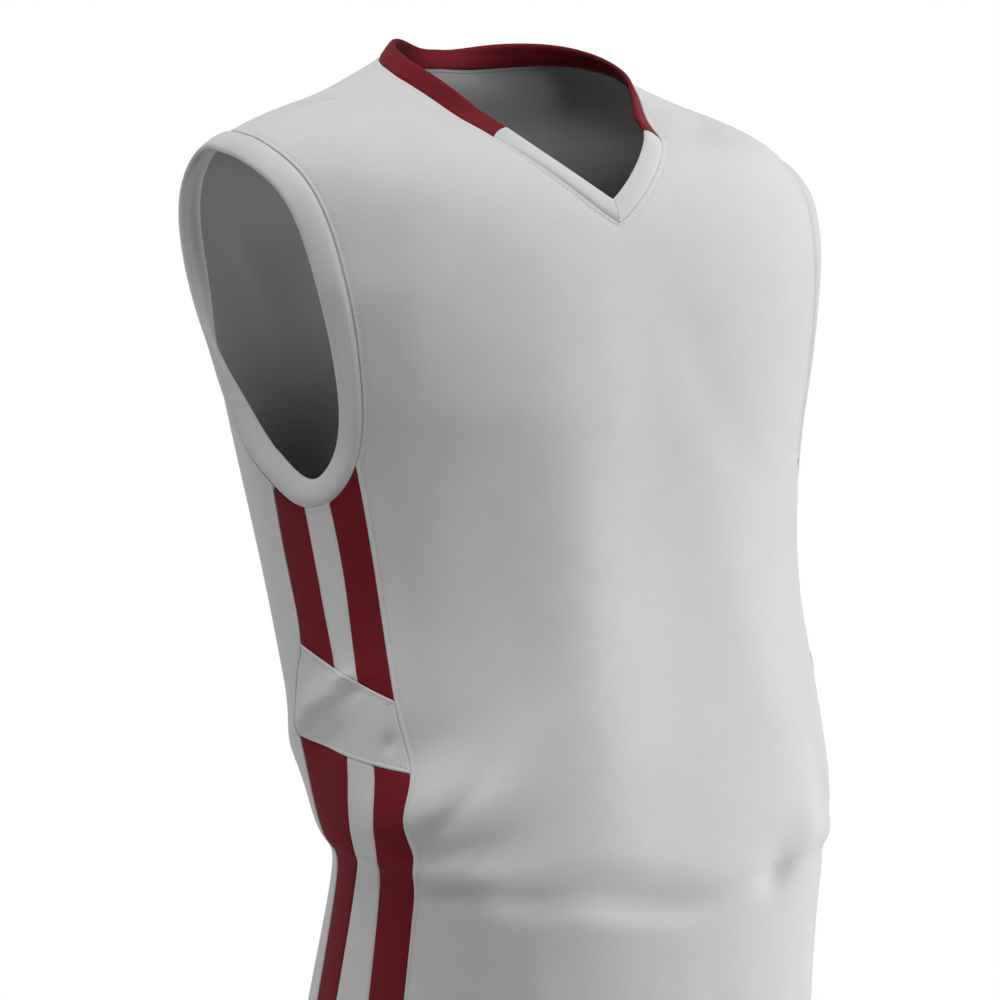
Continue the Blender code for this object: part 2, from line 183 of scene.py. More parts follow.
# %% Surface of the garment
def fold_height(angle, level):
    """Sum of bell curves: each fold is exp(-along^2 - across^2) times its height."""
    height = np.zeros(np.broadcast(angle, level).shape)
    for _, at_angle, at_level, slope, half_length, half_width, rise in FOLDS:
        along = (angle - at_angle) / half_length
        across = (level - at_level - slope * (angle - at_angle)) / half_width
        height = height + rise * np.exp(-(along**2) - across**2)
    return height


def surface(seats):
    """Point of the form at seats (angle in degrees, level).

    Each ring is a superellipse: x = half width times sin(angle)^(2/squareness), y the same
    with the cosine.  Its height is a tilted plane plus a drop that grows towards the front
    and the back, and the folds push it out from its middle."""
    turned = (seats[..., 0] + 180.0) % 360.0 - 180.0
    level = seats[..., 1]
    fold = fold_height(turned, level)
    angle = np.radians(turned)
    ring = natural_curve(np.arange(len(RINGS)), RING_VALUES, level)
    z_side, z_front, z_back, half_width, y_front, y_back, squareness = np.moveaxis(ring, -1, 0)
    power = 2 / squareness
    forward = np.abs(np.cos(angle)) ** power
    across = np.sign(np.sin(angle)) * np.abs(np.sin(angle)) ** power
    y_side = (y_front + y_back) / 2
    is_front = np.cos(angle) > 0
    y = y_side + np.where(is_front, y_front - y_side, y_back - y_side) * forward
    tilt = (z_back - z_front) / (y_back - y_front)
    front_drop = z_front - (z_side + tilt * (y_front - y_side))
    back_drop = z_back - (z_side + tilt * (y_back - y_side))
    z = z_side + tilt * (y - y_side) + np.where(is_front, front_drop, back_drop) * forward**2
    x = half_width * across
    reach = np.hypot(x, y - y_side)
    return np.stack([x * (1 + fold / reach), y + (y - y_side) * fold / reach, z], -1)


def unit(vectors):
    """Vectors divided by their own lengths."""
    return vectors / np.maximum(np.linalg.norm(vectors, axis=-1, keepdims=True), 1e-12)


def outward(seats):
    """Unit normal: the step round the body crossed with the step up it."""
    round_body = surface(seats + (1.0, 0.0)) - surface(seats - (1.0, 0.0))
    upward = surface(seats + (0.0, 0.03)) - surface(seats - (0.0, 0.03))
    return unit(np.cross(round_body, upward))


UNDER_THE_ARMS = 6.0
ROUND_THE_BODY = np.linspace(-180, 180, 721)
girth_seats = np.stack([ROUND_THE_BODY, np.full_like(ROUND_THE_BODY, UNDER_THE_ARMS)], -1)
girth = np.linalg.norm(np.diff(surface(girth_seats), axis=0), axis=1).sum()
print("girth under the arms:", round(float(girth), 3), "m")

# %% [markdown]
# ## Seams
# Every piece of the jersey ends at a seam, so the seams are settled before the pieces.  A seam
# is a short table of places on the form, joined by the same smooth curve.  The armhole is a
# ring, the neck seam runs from the point of the V to the centre back, and the side seams drop
# from the armhole to the hem.

# %% Armhole seam
# Round the armhole, from the top of the shoulder down the front.
# name, angle, level, flare in degrees, stations up to the next row
ARMHOLE = (
    ("strip_front", 87.3, 8.27, -3.0, 3),
    ("strap_front", 64.5, 8.00, 6.0, 3),
    ("chest_high", 52.8, 7.40, -5.0, 3),
    ("chest_low", 52.0, 6.80, -24.0, 3),
    ("front_seam", 57.2, 6.04, -24.0, 3),
    ("front_stripe", 67.1, 5.73, -14.0, 3),
    ("rear_stripe", 76.2, 5.66, -14.0, 3),
    ("rear_seam", 87.0, 5.76, -20.0, 3),
    ("back_low", 101.7, 6.20, -21.0, 3),
    ("back_mid", 118.6, 6.80, 10.0, 3),
    ("back_high", 125.8, 7.48, 21.0, 3),
    ("back_top", 122.6, 8.04, 14.0, 3),
    ("back_strap", 111.5, 8.33, 4.0, 2),
    ("strip_back", 98.1, 8.34, -3.0, 2),
)
print("armhole rows:", len(ARMHOLE))

# %% Neck seam
# From the point of the V to the centre back.
# name, angle, level, lean in degrees, stations up to the next row
NECK = (
    ("v_point", 0.0, 7.855, -3.0, 2),
    ("v_side", 12.8, 8.482, 1.0, 1),
    ("rib_join", 20.7, 8.800, 15.0, 2),
    ("chest_side", 30.5, 9.143, 24.0, 2),
    ("neck_front", 47.6, 9.448, 36.0, 2),
    ("strip_front", 79.8, 9.550, 27.0, 2),
    ("strip_back", 100.8, 9.634, 20.0, 3),
    ("neck_back", 136.0, 9.834, 9.0, 2),
    ("back_side", 158.0, 9.928, 8.0, 2),
    ("centre_back", 180.0, 9.996, 6.0, 0),
)
print("neck rows:", len(NECK))

# %% Side seams and the cross band
# level, front_angle, rear_angle, front_share, rear_share
SIDE = (
    (0.0, 65.5, 101.0, 0.35, 0.67),
    (2.0, 65.2, 101.0, 0.34, 0.65),
    (2.7, 62.8, 99.5, 0.33, 0.585),
    (3.1, 60.9, 99.0, 0.31, 0.56),
    (3.5, 59.3, 98.4, 0.27, 0.535),
    (3.9, 55.5, 97.4, 0.29, 0.54),
    (4.2, 56.4, 95.2, 0.32, 0.575),
    (4.5, 56.6, 90.2, 0.35, 0.61),
    (5.2, 56.3, 88.0, 0.32, 0.615),
    (6.04, 57.2, 87.0, 0.33, 0.635),
)
# The levels of the band's lower and upper edges, at the front seam and at the rear one.
BAND_FRONT = (3.85, 4.38)
BAND_REAR = (3.87, 4.62)
print("side rows:", len(SIDE))

# %% Stations along a seam
FINE = 9
KNOT_POWER = 0.7


def stations(table, closed):
    """Dense (angle, level, turn) along a seam, and the index of each named row.

    Each step of a row's count is cut in FINE parts.  The curve's knots are spaced by the
    distance between rows to the power 0.7, which keeps tight bends from overshooting."""
    rows = np.array([row[1:4] for row in table], float)
    reach = 3 if closed else 0
    padded = np.concatenate([rows[len(rows) - reach :], rows, rows[:reach]])
    places = surface(padded[:, :2])
    spacing = np.linalg.norm(np.diff(places, axis=0), axis=1) ** KNOT_POWER
    knots = np.concatenate([[0.0], np.cumsum(spacing)])
    at = []
    index = {}
    for i, row in enumerate(table):
        index[row[0]] = len(at)
        if row[4] == 0:
            at.append(knots[reach + i])
        else:
            steps = row[4] * FINE
            start, stop = knots[reach + i : reach + i + 2]
            at.extend(start + (stop - start) * np.arange(steps) / steps)
    return natural_curve(knots, padded, np.array(at)), index


arm, arm_at = stations(ARMHOLE, True)
neck, neck_at = stations(NECK, False)
print("armhole stations:", len(arm), "neck stations:", len(neck))


# %% Working with paths on the form
def lengths(points):
    """Distance travelled to each point of a line, from its first."""
    steps = np.linalg.norm(np.diff(points, axis=0), axis=-1)
    return np.concatenate([[0.0], np.cumsum(steps)])


def resample(path, shares):
    """Seats at the given shares of a path's real length."""
    travel = lengths(surface(path[:, :2]))
    columns = [np.interp(np.asarray(shares) * travel[-1], travel, c) for c in path.T]
    return np.stack(columns, -1)


def on_right(seats):
    """The same seats on the wearer's right: the angles change sign."""
    return seats * np.array([-1.0] + [1.0] * (seats.shape[-1] - 1))


def between(first, last, count):
    """Evenly spaced seats from first to last, both included."""
    share = np.linspace(0, 1, count)[:, None]
    return np.asarray(first) * (1 - share) + np.asarray(last) * share


closed_arm = np.concatenate([arm, arm[:1]])[:, :2]
print("armhole seam:", round(float(lengths(surface(closed_arm))[-1]), 3), "m")


# %% Seams of the side panel and the shoulder
SIDE_LEVELS = [row[0] for row in SIDE]
SIDE_VALUES = np.array([row[1:] for row in SIDE])
SEAM_PLACES = 400
STRIP_PLACES = 80


def side_values(level):
    """front_angle, rear_angle, front_share, rear_share at a level of the side panel."""
    return natural_curve(SIDE_LEVELS, SIDE_VALUES, level)


front_climb = np.linspace(0, arm[arm_at["front_seam"], 1], SEAM_PLACES)
rear_climb = np.linspace(0, arm[arm_at["rear_seam"], 1], SEAM_PLACES)
front_seam = np.stack([side_values(front_climb)[:, 0], front_climb], -1)
rear_seam = np.stack([side_values(rear_climb)[:, 1], rear_climb], -1)
front_seam[-1] = arm[arm_at["front_seam"], :2]
rear_seam[-1] = arm[arm_at["rear_seam"], :2]
strip_front = between(neck[neck_at["strip_front"], :2], arm[0, :2], STRIP_PLACES)
strip_back = between(neck[neck_at["strip_back"], :2], arm[arm_at["strip_back"], :2], STRIP_PLACES)
print("side seam:", round(float(lengths(surface(front_seam))[-1]), 3), "m")

# %% [markdown]
# ## Edges that are sewn
# A flat sheet with a hard edge looks like paper.  A real seam has cloth turned under it, so the
# edge stands up as a soft lip, sinks into a groove where the thread pulls it down, and puckers
# a little between stitches.  All three are small heights that depend only on how far a place is
# from the seam, so they are worked out once for any panel.

# %% Kinds of edge
# kind: lip height, lip place, groove depth, groove place, pucker height, swell height and
# swell reach, in millimetres
EDGE_KINDS = {
    "turned": (0.24, 1.1, 0.12, 3.2, 0.03, 0.0, 9.0),
    "turned_left": (0.24, 1.1, 0.12, 3.2, 0.03, 2.5, 12.0),
    "turned_right": (0.60, 1.1, 0.12, 3.2, 0.03, -0.6, 14.0),
    "stitched": (0.34, 0.9, 0.12, 3.4, 0.07, 0.0, 9.0),
    "under": (-0.40, 0.3, 0.03, 3.0, 0.03, 0.0, 9.0),
    "under_left": (-0.40, 0.3, 0.03, 3.0, 0.03, 2.5, 5.0),
    "under_right": (-0.40, 0.3, 0.03, 3.0, 0.03, -0.6, 5.0),
    "hem": (0.15, 2.0, 0.25, 19.0, 0.12, 0.0, 9.0),
}
print("kinds of edge:", list(EDGE_KINDS))


# %% Distance from a seam
BLOCK = 3000


def edge_distance(points, line):
    """Distance from each point to the nearest segment of a line, and how far along the
    line that is.  Points are taken in blocks, to spare memory."""
    steps = np.diff(line, axis=0)
    squares = np.maximum(np.sum(steps**2, axis=1), 1e-14)
    travel = lengths(line)
    gaps = np.empty(len(points))
    along = np.empty(len(points))
    for first in range(0, len(points), BLOCK):
        block = slice(first, first + BLOCK)
        part = points[block, None] - line[:-1]
        share = np.clip(np.einsum("psk,sk->ps", part, steps) / squares, 0, 1)
        gap = np.linalg.norm(part - share[..., None] * steps, axis=-1)
        near = np.argmin(gap, axis=1)
        row = np.arange(len(near))
        gaps[block] = gap[row, near]
        along[block] = travel[near] + share[row, near] * np.sqrt(squares[near])
    return gaps, along


print("distances are taken", BLOCK, "points at a time")


# %% Edge relief
# How far each bell spreads, in millimetres.
LIP_SPREAD = 1.0
GROOVE_SPREAD = 0.95
PUCKER_SPREAD = 5.0
ROUNDING, ROUNDING_SPREAD = 0.35, 0.5
# Lengths of the waves of a pucker, the reach of any relief, and the height under the arm
# where a swell begins and how fast it grows, in metres.
PUCKER_WAVES = (0.009, 0.014, 0.023, 0.037)
RELIEF_REACH = 0.028
SWELL_TOP = -0.262
SWELL_GROWTH = 0.03


def relief(kind, gap, along, seed, below):
    """Height over the cloth at a distance from the edge: a bell for the lip, minus a bell
    for the groove, plus sine waves for the pucker, minus a sharp bell that rounds the edge.
    A swell is a wide bell that fades out under the armhole, with the share `below`."""
    lip, lip_at, groove, groove_at, pucker, swell, swell_reach = EDGE_KINDS[kind]
    far = gap * 1000
    height = lip * np.exp(-(((far - lip_at) / LIP_SPREAD) ** 2))
    height = height - groove * np.exp(-(((far - groove_at) / GROOVE_SPREAD) ** 2))
    wave = sum(
        np.sin(2 * np.pi * along / size + seed * (2.1 + 1.7 * k)) / (1 + 0.3 * k)
        for k, size in enumerate(PUCKER_WAVES)
    )
    height = height + pucker * wave / 2 * np.exp(-(((far - groove_at) / PUCKER_SPREAD) ** 2))
    height = height - ROUNDING * np.exp(-((far / ROUNDING_SPREAD) ** 2))
    height = height + swell * below * np.exp(-((far / swell_reach) ** 2))
    return height / 1000


def edge_relief(points, edges, seed):
    """Sum of the reliefs of a panel's edges, at the points within 28 mm of each."""
    flat = points.reshape(-1, 3)
    height = np.zeros(len(flat))
    for k, (line, kind) in enumerate(edges):
        rough = line[:: max(len(line) // 40, 1)]
        reach = RELIEF_REACH + np.linalg.norm(np.diff(rough, axis=0), axis=1).max()
        nearest = np.full(len(flat), np.inf)
        for place in rough:
            nearest = np.minimum(nearest, np.sum((flat - place) ** 2, axis=1))
        close = np.flatnonzero(nearest < reach**2)
        gap, along = edge_distance(flat[close], line)
        below = np.clip((SWELL_TOP - flat[close, 2]) / SWELL_GROWTH, 0, 1)
        height[close] += relief(kind, gap, along, seed + 3 * k, below)
    return height.reshape(points.shape[:-1])


print("relief reaches", RELIEF_REACH * 1000, "mm from a seam")

# %% [markdown]
# ## Creases placed by hand
# The jersey blouses over the waist, and the cloth above the tuck falls in a few soft folds that
# differ in length and depth.  Each one is a bell-shaped ridge or trough with its own bearing on
# the cloth, steeper on one side, because that is how a fold leans under its own weight.

# %% Creases
# name, angle, level, bearing in degrees, half_length, half_width, height, bend in metres,
# share by which the upper side is wider than the lower one
CREASES = (
    # over the waist on the wearer's right, the deepest ones
    ("right_crest", -49.0, 3.58, 22.0, 0.040, 0.0160, 0.0056, 0.003, 0.5),
    ("right_sweep", -37.0, 3.90, 48.0, 0.052, 0.0180, 0.0048, -0.004, 0.5),
    ("right_trough_low", -54.0, 3.12, 12.0, 0.030, 0.0085, -0.0012, 0.002, 0.0),
    ("right_band", -47.0, 2.72, 6.0, 0.044, 0.0085, 0.0032, 0.004, 0.0),
    ("right_rise", -51.0, 4.06, 28.0, 0.040, 0.0170, -0.0024, 0.003, 0.0),
    ("right_fall", -61.0, 4.95, 92.0, 0.060, 0.0240, -0.0030, 0.003, 0.0),
    ("right_dark", -54.0, 2.14, 18.0, 0.018, 0.0085, -0.0036, 0.000, 0.3),
    ("middle_dark", -34.0, 2.28, 4.0, 0.030, 0.0090, -0.0070, 0.002, 0.2),
    ("front_dark", -9.0, 2.37, -4.0, 0.060, 0.0125, -0.0094, 0.003, 0.2),
    # the chest turns to the side, and the cloth hangs from the chest
    ("front_turn", -9.0, 5.20, 92.0, 0.155, 0.0480, 0.0092, 0.008, 0.0),
    ("chest_shelf", -25.0, 6.60, 2.0, 0.085, 0.0420, 0.0036, 0.004, 0.2),
    ("chest_under", -24.0, 6.50, 3.0, 0.060, 0.0150, 0.0009, 0.004, 0.3),
    ("chest_slack", 14.0, 6.72, -58.0, 0.070, 0.0230, -0.0020, 0.005, 0.1),
    ("chest_rise", -2.5, 6.95, -84.0, 0.060, 0.0190, 0.0012, 0.003, 0.0),
    ("side_turn", 27.0, 4.80, 96.0, 0.110, 0.0300, 0.0022, 0.006, 0.0),
    ("arm_hollow", -45.0, 7.35, 84.0, 0.055, 0.0160, -0.0022, 0.003, 0.0),
    ("arm_shelf", -47.0, 7.28, 4.0, 0.050, 0.0400, 0.0032, 0.003, -0.3),
    ("left_neck_slack", 46.0, 8.88, 20.0, 0.030, 0.0160, -0.0018, 0.004, 0.0),
    ("shoulder_right", -94.0, 9.15, 90.0, 0.020, 0.0200, -0.0028, 0.000, 0.0),
    ("shoulder_left", 94.0, 9.10, 90.0, 0.022, 0.0200, -0.0024, 0.000, 0.0),
    # the wearer's left
    ("left_dark", 30.0, 2.44, 30.0, 0.017, 0.0110, -0.0044, 0.000, 0.2),
    ("left_lift", 40.0, 3.30, 60.0, 0.032, 0.0160, 0.0022, 0.003, 0.0),
    ("left_low", 52.0, 2.30, -12.0, 0.028, 0.0090, -0.0024, 0.002, 0.2),
    ("left_blouse", 60.0, 3.45, 90.0, 0.022, 0.0300, 0.0016, 0.000, 0.0),
    ("left_tuck", 60.0, 2.72, 0.0, 0.030, 0.0140, -0.0024, 0.000, 0.0),
    ("side_left", 84.0, 3.35, -14.0, 0.045, 0.0140, -0.0030, 0.004, 0.2),
    ("side_left_low", 96.0, 2.62, 12.0, 0.034, 0.0110, -0.0022, 0.003, 0.2),
    # the cross band on each side, pulled by its stitching
    ("band_fold", -87.0, 4.16, 44.0, 0.030, 0.0090, 0.0058, 0.000, 0.45),
    ("band_hollow", -84.0, 3.94, 44.0, 0.022, 0.0120, -0.0026, 0.000, -0.2),
    ("band_knot", -73.0, 4.47, 30.0, 0.008, 0.0035, 0.0020, 0.000, 0.0),
    ("band_pull", -71.0, 4.38, 30.0, 0.008, 0.0040, -0.0016, 0.000, 0.0),
    ("band_dimple", -60.8, 4.05, 70.0, 0.006, 0.0045, -0.0020, 0.000, 0.0),
    ("back_bulge", -118.0, 3.72, 84.0, 0.020, 0.0300, 0.0042, 0.000, 0.0),
    ("left_band_fold", 80.0, 4.22, -30.0, 0.024, 0.0090, 0.0030, 0.002, 0.5),
    ("left_band_hollow", 72.0, 4.12, -20.0, 0.016, 0.0080, -0.0024, 0.000, 0.0),
    # the back
    ("back_left", 132.0, 3.10, -10.0, 0.050, 0.0130, -0.0030, 0.005, 0.3),
    ("back_middle", 172.0, 2.62, 4.0, 0.055, 0.0110, -0.0028, 0.004, 0.2),
    ("back_right", -150.0, 2.75, 12.0, 0.046, 0.0120, -0.0026, 0.004, 0.3),
    ("back_rise", 176.0, 3.60, 6.0, 0.070, 0.0180, 0.0024, 0.006, 0.2),
    ("back_slack", 160.0, 6.90, -62.0, 0.055, 0.0150, -0.0020, 0.005, 0.2),
    ("back_turn", 132.0, 5.20, 88.0, 0.100, 0.0280, 0.0030, 0.008, 0.2),
    ("blade_right", -148.0, 7.10, 70.0, 0.060, 0.0180, 0.0018, 0.006, 0.2),
    # below the tuck
    ("skirt_1", -30.0, 0.90, 84.0, 0.070, 0.0120, 0.0016, 0.004, 0.0),
    ("skirt_2", 12.0, 0.80, 96.0, 0.080, 0.0140, -0.0016, 0.003, 0.0),
    ("skirt_3", 48.0, 0.95, 88.0, 0.070, 0.0110, 0.0016, 0.004, 0.0),
    ("skirt_4", 118.0, 0.85, 92.0, 0.080, 0.0150, -0.0018, 0.003, 0.0),
    ("skirt_5", 160.0, 0.90, 85.0, 0.070, 0.0130, 0.0016, 0.003, 0.0),
    ("skirt_6", -130.0, 0.80, 95.0, 0.080, 0.0140, -0.0017, 0.004, 0.0),
    ("skirt_7", -92.0, 0.95, 86.0, 0.060, 0.0120, 0.0014, 0.003, 0.0),
)
print("creases:", len(CREASES))


# %% Height of the creases
def crease_height(points, normals):
    """Sum of leaning bells: rise * exp(-(u / half_length)^2 - (v / half_width)^2), where u
    and v are real distances along and across the crease on the cloth, and v follows its bend
    as far as twice the half length.  Cloth that faces the other way is left alone."""
    height = np.zeros(points.shape[:-1])
    for _, angle, level, bearing, half_length, half_width, rise, bend, lean in CREASES:
        seat = np.array((angle, level))
        centre, out_from = surface(seat), outward(seat)
        round_body = unit(surface(seat + (1.0, 0.0)) - surface(seat - (1.0, 0.0)))
        upward = np.cross(out_from, round_body)
        turn = np.radians(bearing)
        along = np.cos(turn) * round_body + np.sin(turn) * upward
        across = np.cross(out_from, along)
        gap = points - centre
        u = gap @ along / half_length
        v = gap @ across - bend * np.minimum(u * u, 4.0)
        v = v / (half_width * np.where(v > 0, 1 + lean, 1 - lean))
        facing = np.clip(normals @ out_from * 1.5, 0, 1)
        height = height + rise * np.exp(-(u**2) - v**2) * facing
    return height


# %% [markdown]
# ## Grids that are fine where it matters
# Lips and grooves are a millimetre wide, and the open cloth between them is smooth.  A grid with
# rows close together at its seams and wide apart elsewhere shows both with few faces.

# %% Grids with close rows at the seams
EDGE_STEPS = np.array((0.0, 0.4, 0.8, 1.2, 1.7, 2.3, 3.0, 3.8, 4.8, 6.2, 8.0)) / 1000
ROW_STEP = 0.0036
COLUMN_STEP = 0.0024
# The close rows take up at most this share of a short piece at each end.
EDGE_ROOM = 0.42


def spaced(length, step, close_start=True, close_end=True):
    """Shares 0 to 1 of a length: the edge steps at a sewn end, even steps between."""
    room = EDGE_STEPS[EDGE_STEPS < EDGE_ROOM * length]
    first = room if close_start else room[:1]
    last = room if close_end else room[:1]
    start, stop = first[-1], length - last[-1]
    count = max(int(round((stop - start) / step)), 1)
    inside = np.linspace(start, stop, count + 1)[1:-1]
    return np.concatenate([first, inside, (length - last)[::-1]]) / length


def patch(left, right, bottom, top, across, up, ease):
    """Grid between four edges.  A row is the straight mix of its two ends, and the bends of
    the top and bottom edges fade away from them with the power `ease`."""
    s = across[:, None]
    t = up[:, None, None]
    rows = (1 - s) * left[:, None] + s * right[:, None]
    top_bend = top - ((1 - s) * top[0] + s * top[-1])
    bottom_bend = bottom - ((1 - s) * bottom[0] + s * bottom[-1])
    return rows + top_bend * t**ease + bottom_bend * (1 - t) ** ease


def path_length(seats):
    """Real length of a path on the form."""
    return lengths(surface(seats[:, :2]))[-1]


print("rows along a 40 mm piece:", len(spaced(0.040, ROW_STEP)))

# %% [markdown]
# ## Where the yarn runs
# Knit is made in straight columns that climb the body.  Each place on the cloth therefore gets a
# second address, in metres round and up along the cloth, and the knit pattern is drawn on that.

# %% Table of yarn places
STEPS_A_LEVEL = 20
CENTRE_FRONT = 180
YARN_ANGLES = np.linspace(-180, 180, 361)
YARN_LEVELS = np.linspace(0, 10, 10 * STEPS_A_LEVEL + 1)
yarn_seats = np.stack(np.meshgrid(YARN_ANGLES, YARN_LEVELS, indexing="ij"), -1)
yarn_points = surface(yarn_seats)
steps_round = np.linalg.norm(np.diff(yarn_points, axis=0), axis=-1)
steps_up = np.linalg.norm(np.diff(yarn_points, axis=1), axis=-1)
yarn_round = np.concatenate([np.zeros((1, len(YARN_LEVELS))), np.cumsum(steps_round, axis=0)])
yarn_up = np.concatenate([np.zeros((len(YARN_ANGLES), 1)), np.cumsum(steps_up, axis=1)], axis=1)
yarn_round -= yarn_round[CENTRE_FRONT]


def yarn_place(seats, behind):
    """Metres round the body and metres up it, mixed from the four nearest entries of a table.

    For a piece on the back the angle is taken from the centre back, so it has no jump."""
    angle = seats[..., 0]
    turned = angle - 360.0 * np.floor((angle + 180.0) / 360.0)
    i = np.clip(turned + 180.0, 0, 359.999)
    j = np.clip(seats[..., 1], 0, 9.999) * STEPS_A_LEVEL
    i0, j0 = i.astype(int), j.astype(int)
    a, b = i - i0, j - j0
    place = []
    for table in (yarn_round, yarn_up):
        low = table[i0, j0] * (1 - a) + table[i0 + 1, j0] * a
        high = table[i0, j0 + 1] * (1 - a) + table[i0 + 1, j0 + 1] * a
        place.append(low * (1 - b) + high * b)
    if behind:
        half_round = (yarn_round[-1][j0] - yarn_round[0][j0]) / 2
        place[0] = np.where(turned > 0, place[0] - half_round, place[0] + half_round)
    return np.stack(place, -1)


print("round the hem:", round(float(yarn_round[-1, 0] - yarn_round[0, 0]), 3), "m")

# %% [markdown]
# ## A shell of cloth
# Jersey knit is about a millimetre thick.  Each piece is therefore a closed shell: an outer
# grid with the relief of its seams, an inner grid that follows the creases only, and a rim.

# %% Faces of a shell
CLOTH = 0.0014
PIECES = {}


def signed_volume(points, quads):
    """Volume inside closed faces, below zero when they point inwards."""
    a, b, c, d = (points[quads[:, k]] for k in range(4))
    return float(np.sum(a * np.cross(b, c)) + np.sum(a * np.cross(c, d))) / 6


def grid_corners(values):
    """The four corner values of each cell of a grid, going round the cell."""
    corners = values[:-1, :-1], values[:-1, 1:], values[1:, 1:], values[1:, :-1]
    return np.stack(corners, 2).reshape(-1, 4, *values.shape[2:])


def shell_faces(index, under, yarn, ring):
    """Faces of a shell from the point numbers of its outer and inner grids, and the yarn
    place of every corner: the cells of both grids, then a rim of faces that joins them."""
    outer_faces, inner_faces = grid_corners(index), grid_corners(under)[:, ::-1]
    places = grid_corners(yarn)
    faces, corners = [outer_faces, inner_faces], [places, places[:, ::-1]]
    rims = [(np.s_[:, 0], True), (np.s_[:, -1], False)]
    if not ring:
        rims += [(np.s_[0], False), (np.s_[-1], True)]
    for cut, flip in rims:
        top, low, place = index[cut], under[cut], yarn[cut]
        quad = np.stack([top[:-1], low[:-1], low[1:], top[1:]], -1)
        spot = np.stack([place[:-1], place[:-1], place[1:], place[1:]], -2)
        faces.append(quad[:, ::-1] if flip else quad)
        corners.append(spot[:, ::-1] if flip else spot)
    return np.concatenate(faces), np.concatenate(corners), len(outer_faces)


print("cloth thickness:", CLOTH * 1000, "mm")


# %% Cloth shell
def add_piece(name, mesh):
    """Smooth object of a mesh, at the origin, kept in the list of pieces."""
    mesh.shade_smooth()
    piece = bpy.data.objects.new(name, mesh)
    bpy.context.scene.collection.objects.link(piece)
    PIECES[name] = piece
    return piece


def cloth_shell(name, outer, inner, yarn, ring=False):
    """Closed mesh from an outer and an inner grid of the same size.

    A ring wraps its last row round to the first.  The faces are turned over if the volume
    inside comes out below zero, and the inner ones get the second material."""
    rows, columns = outer.shape[:2]
    index = np.arange(rows * columns).reshape(rows, columns)
    if ring:
        index = np.concatenate([index, index[:1]])
    quads, corners, outer_count = shell_faces(index, index + rows * columns, yarn, ring)
    points = np.concatenate([outer.reshape(-1, 3), inner.reshape(-1, 3)])
    if signed_volume(points, quads) < 0:
        quads, corners = quads[:, ::-1], corners[:, ::-1]
    mesh = bpy.data.meshes.new(name)
    mesh.from_pydata(points.tolist(), [], quads.tolist())
    layer = mesh.uv_layers.new(name="yarn")
    layer.uv.foreach_set("vector", corners.reshape(-1).astype(np.float32))
    inside = np.zeros(len(quads), np.int32)
    inside[outer_count : 2 * outer_count] = 1
    mesh.polygons.foreach_set("material_index", inside)
    return add_piece(name, mesh)


# %% A panel of cloth
RELIEF_INSIDE = 0.4


def area_of(piece):
    """Half of the surface of a shell: the area of its cloth."""
    return sum(face.area for face in piece.data.polygons) / 2


def dress(name, seats, edges, seed, behind=False):
    """One panel of cloth on a grid of seats: the form, plus the creases and the relief of its
    edges along the normal.  The grooves show a little on the inside too."""
    base, normals = surface(seats), outward(seats)
    crease = crease_height(base, normals)
    raised = edge_relief(base, edges(base), seed)
    outer = base + normals * (crease + raised)[..., None]
    inner = base + normals * (crease + np.minimum(raised, 0) * RELIEF_INSIDE - CLOTH)[..., None]
    return cloth_shell(name, outer, inner, yarn_place(seats, behind))


print("share of a groove that shows inside:", RELIEF_INSIDE)

# %% [markdown]
# ## The front and the back
# Each is one cut panel.  Its rows run straight between the centre line and the side, and only
# the top rows bend up into the neck and the shoulder, so the grid stays even.  The front panel
# is the top layer at every seam, which shows as a thin bright lip beside the trim.

# %% Half of a panel
# The neck takes this share of the top row, the bend of the top rows fades with this power,
# and half a panel is about this wide, in metres.
CORNER_SHARE = 0.62
PANEL_EASE = 6.0
PANEL_REACH = 0.17
# The centre-line levels of the rows that meet the front and the rear side seam's top.
FRONT_ARM_LEVEL = 5.5
BACK_ARM_LEVEL = 5.6


def half_panel(centre_angle, seam, arm_part, neck_part, strip, centre_arm):
    """Grid of seats from the centre line out to the side seam and the armhole.

    The rows are spaced along the seam and the armhole.  `centre_arm` is the centre-line
    level of the row that meets the corner between those two."""
    seam_rows = resample(seam, spaced(path_length(seam), ROW_STEP, True, False))
    arm_shares = spaced(path_length(arm_part), ROW_STEP, False, True)
    right = np.concatenate([seam_rows, resample(arm_part, arm_shares)[1:]])
    centre_top = neck_part[0, 1]
    low = seam_rows[:, 1] * centre_arm / seam_rows[-1, 1]
    centre = np.concatenate([low, centre_arm + arm_shares[1:] * (centre_top - centre_arm)])
    left = np.stack([np.full(len(centre), centre_angle), centre], -1)
    neck_columns = np.linspace(0, 1, int(CORNER_SHARE * PANEL_REACH / COLUMN_STEP) + 1)
    rest = (1 - CORNER_SHARE) * PANEL_REACH
    strip_columns = spaced(rest, COLUMN_STEP, False, True)
    across = np.concatenate(
        [neck_columns * CORNER_SHARE, CORNER_SHARE + (1 - CORNER_SHARE) * strip_columns[1:]]
    )
    top = np.concatenate([resample(neck_part, neck_columns), resample(strip, strip_columns)[1:]])
    bottom = np.stack([centre_angle + across * (right[0, 0] - centre_angle), across * 0], -1)
    up = centre / centre_top
    grid = patch(left, right, bottom, top, across, up, PANEL_EASE)
    return grid, len(seam_rows), len(neck_columns)


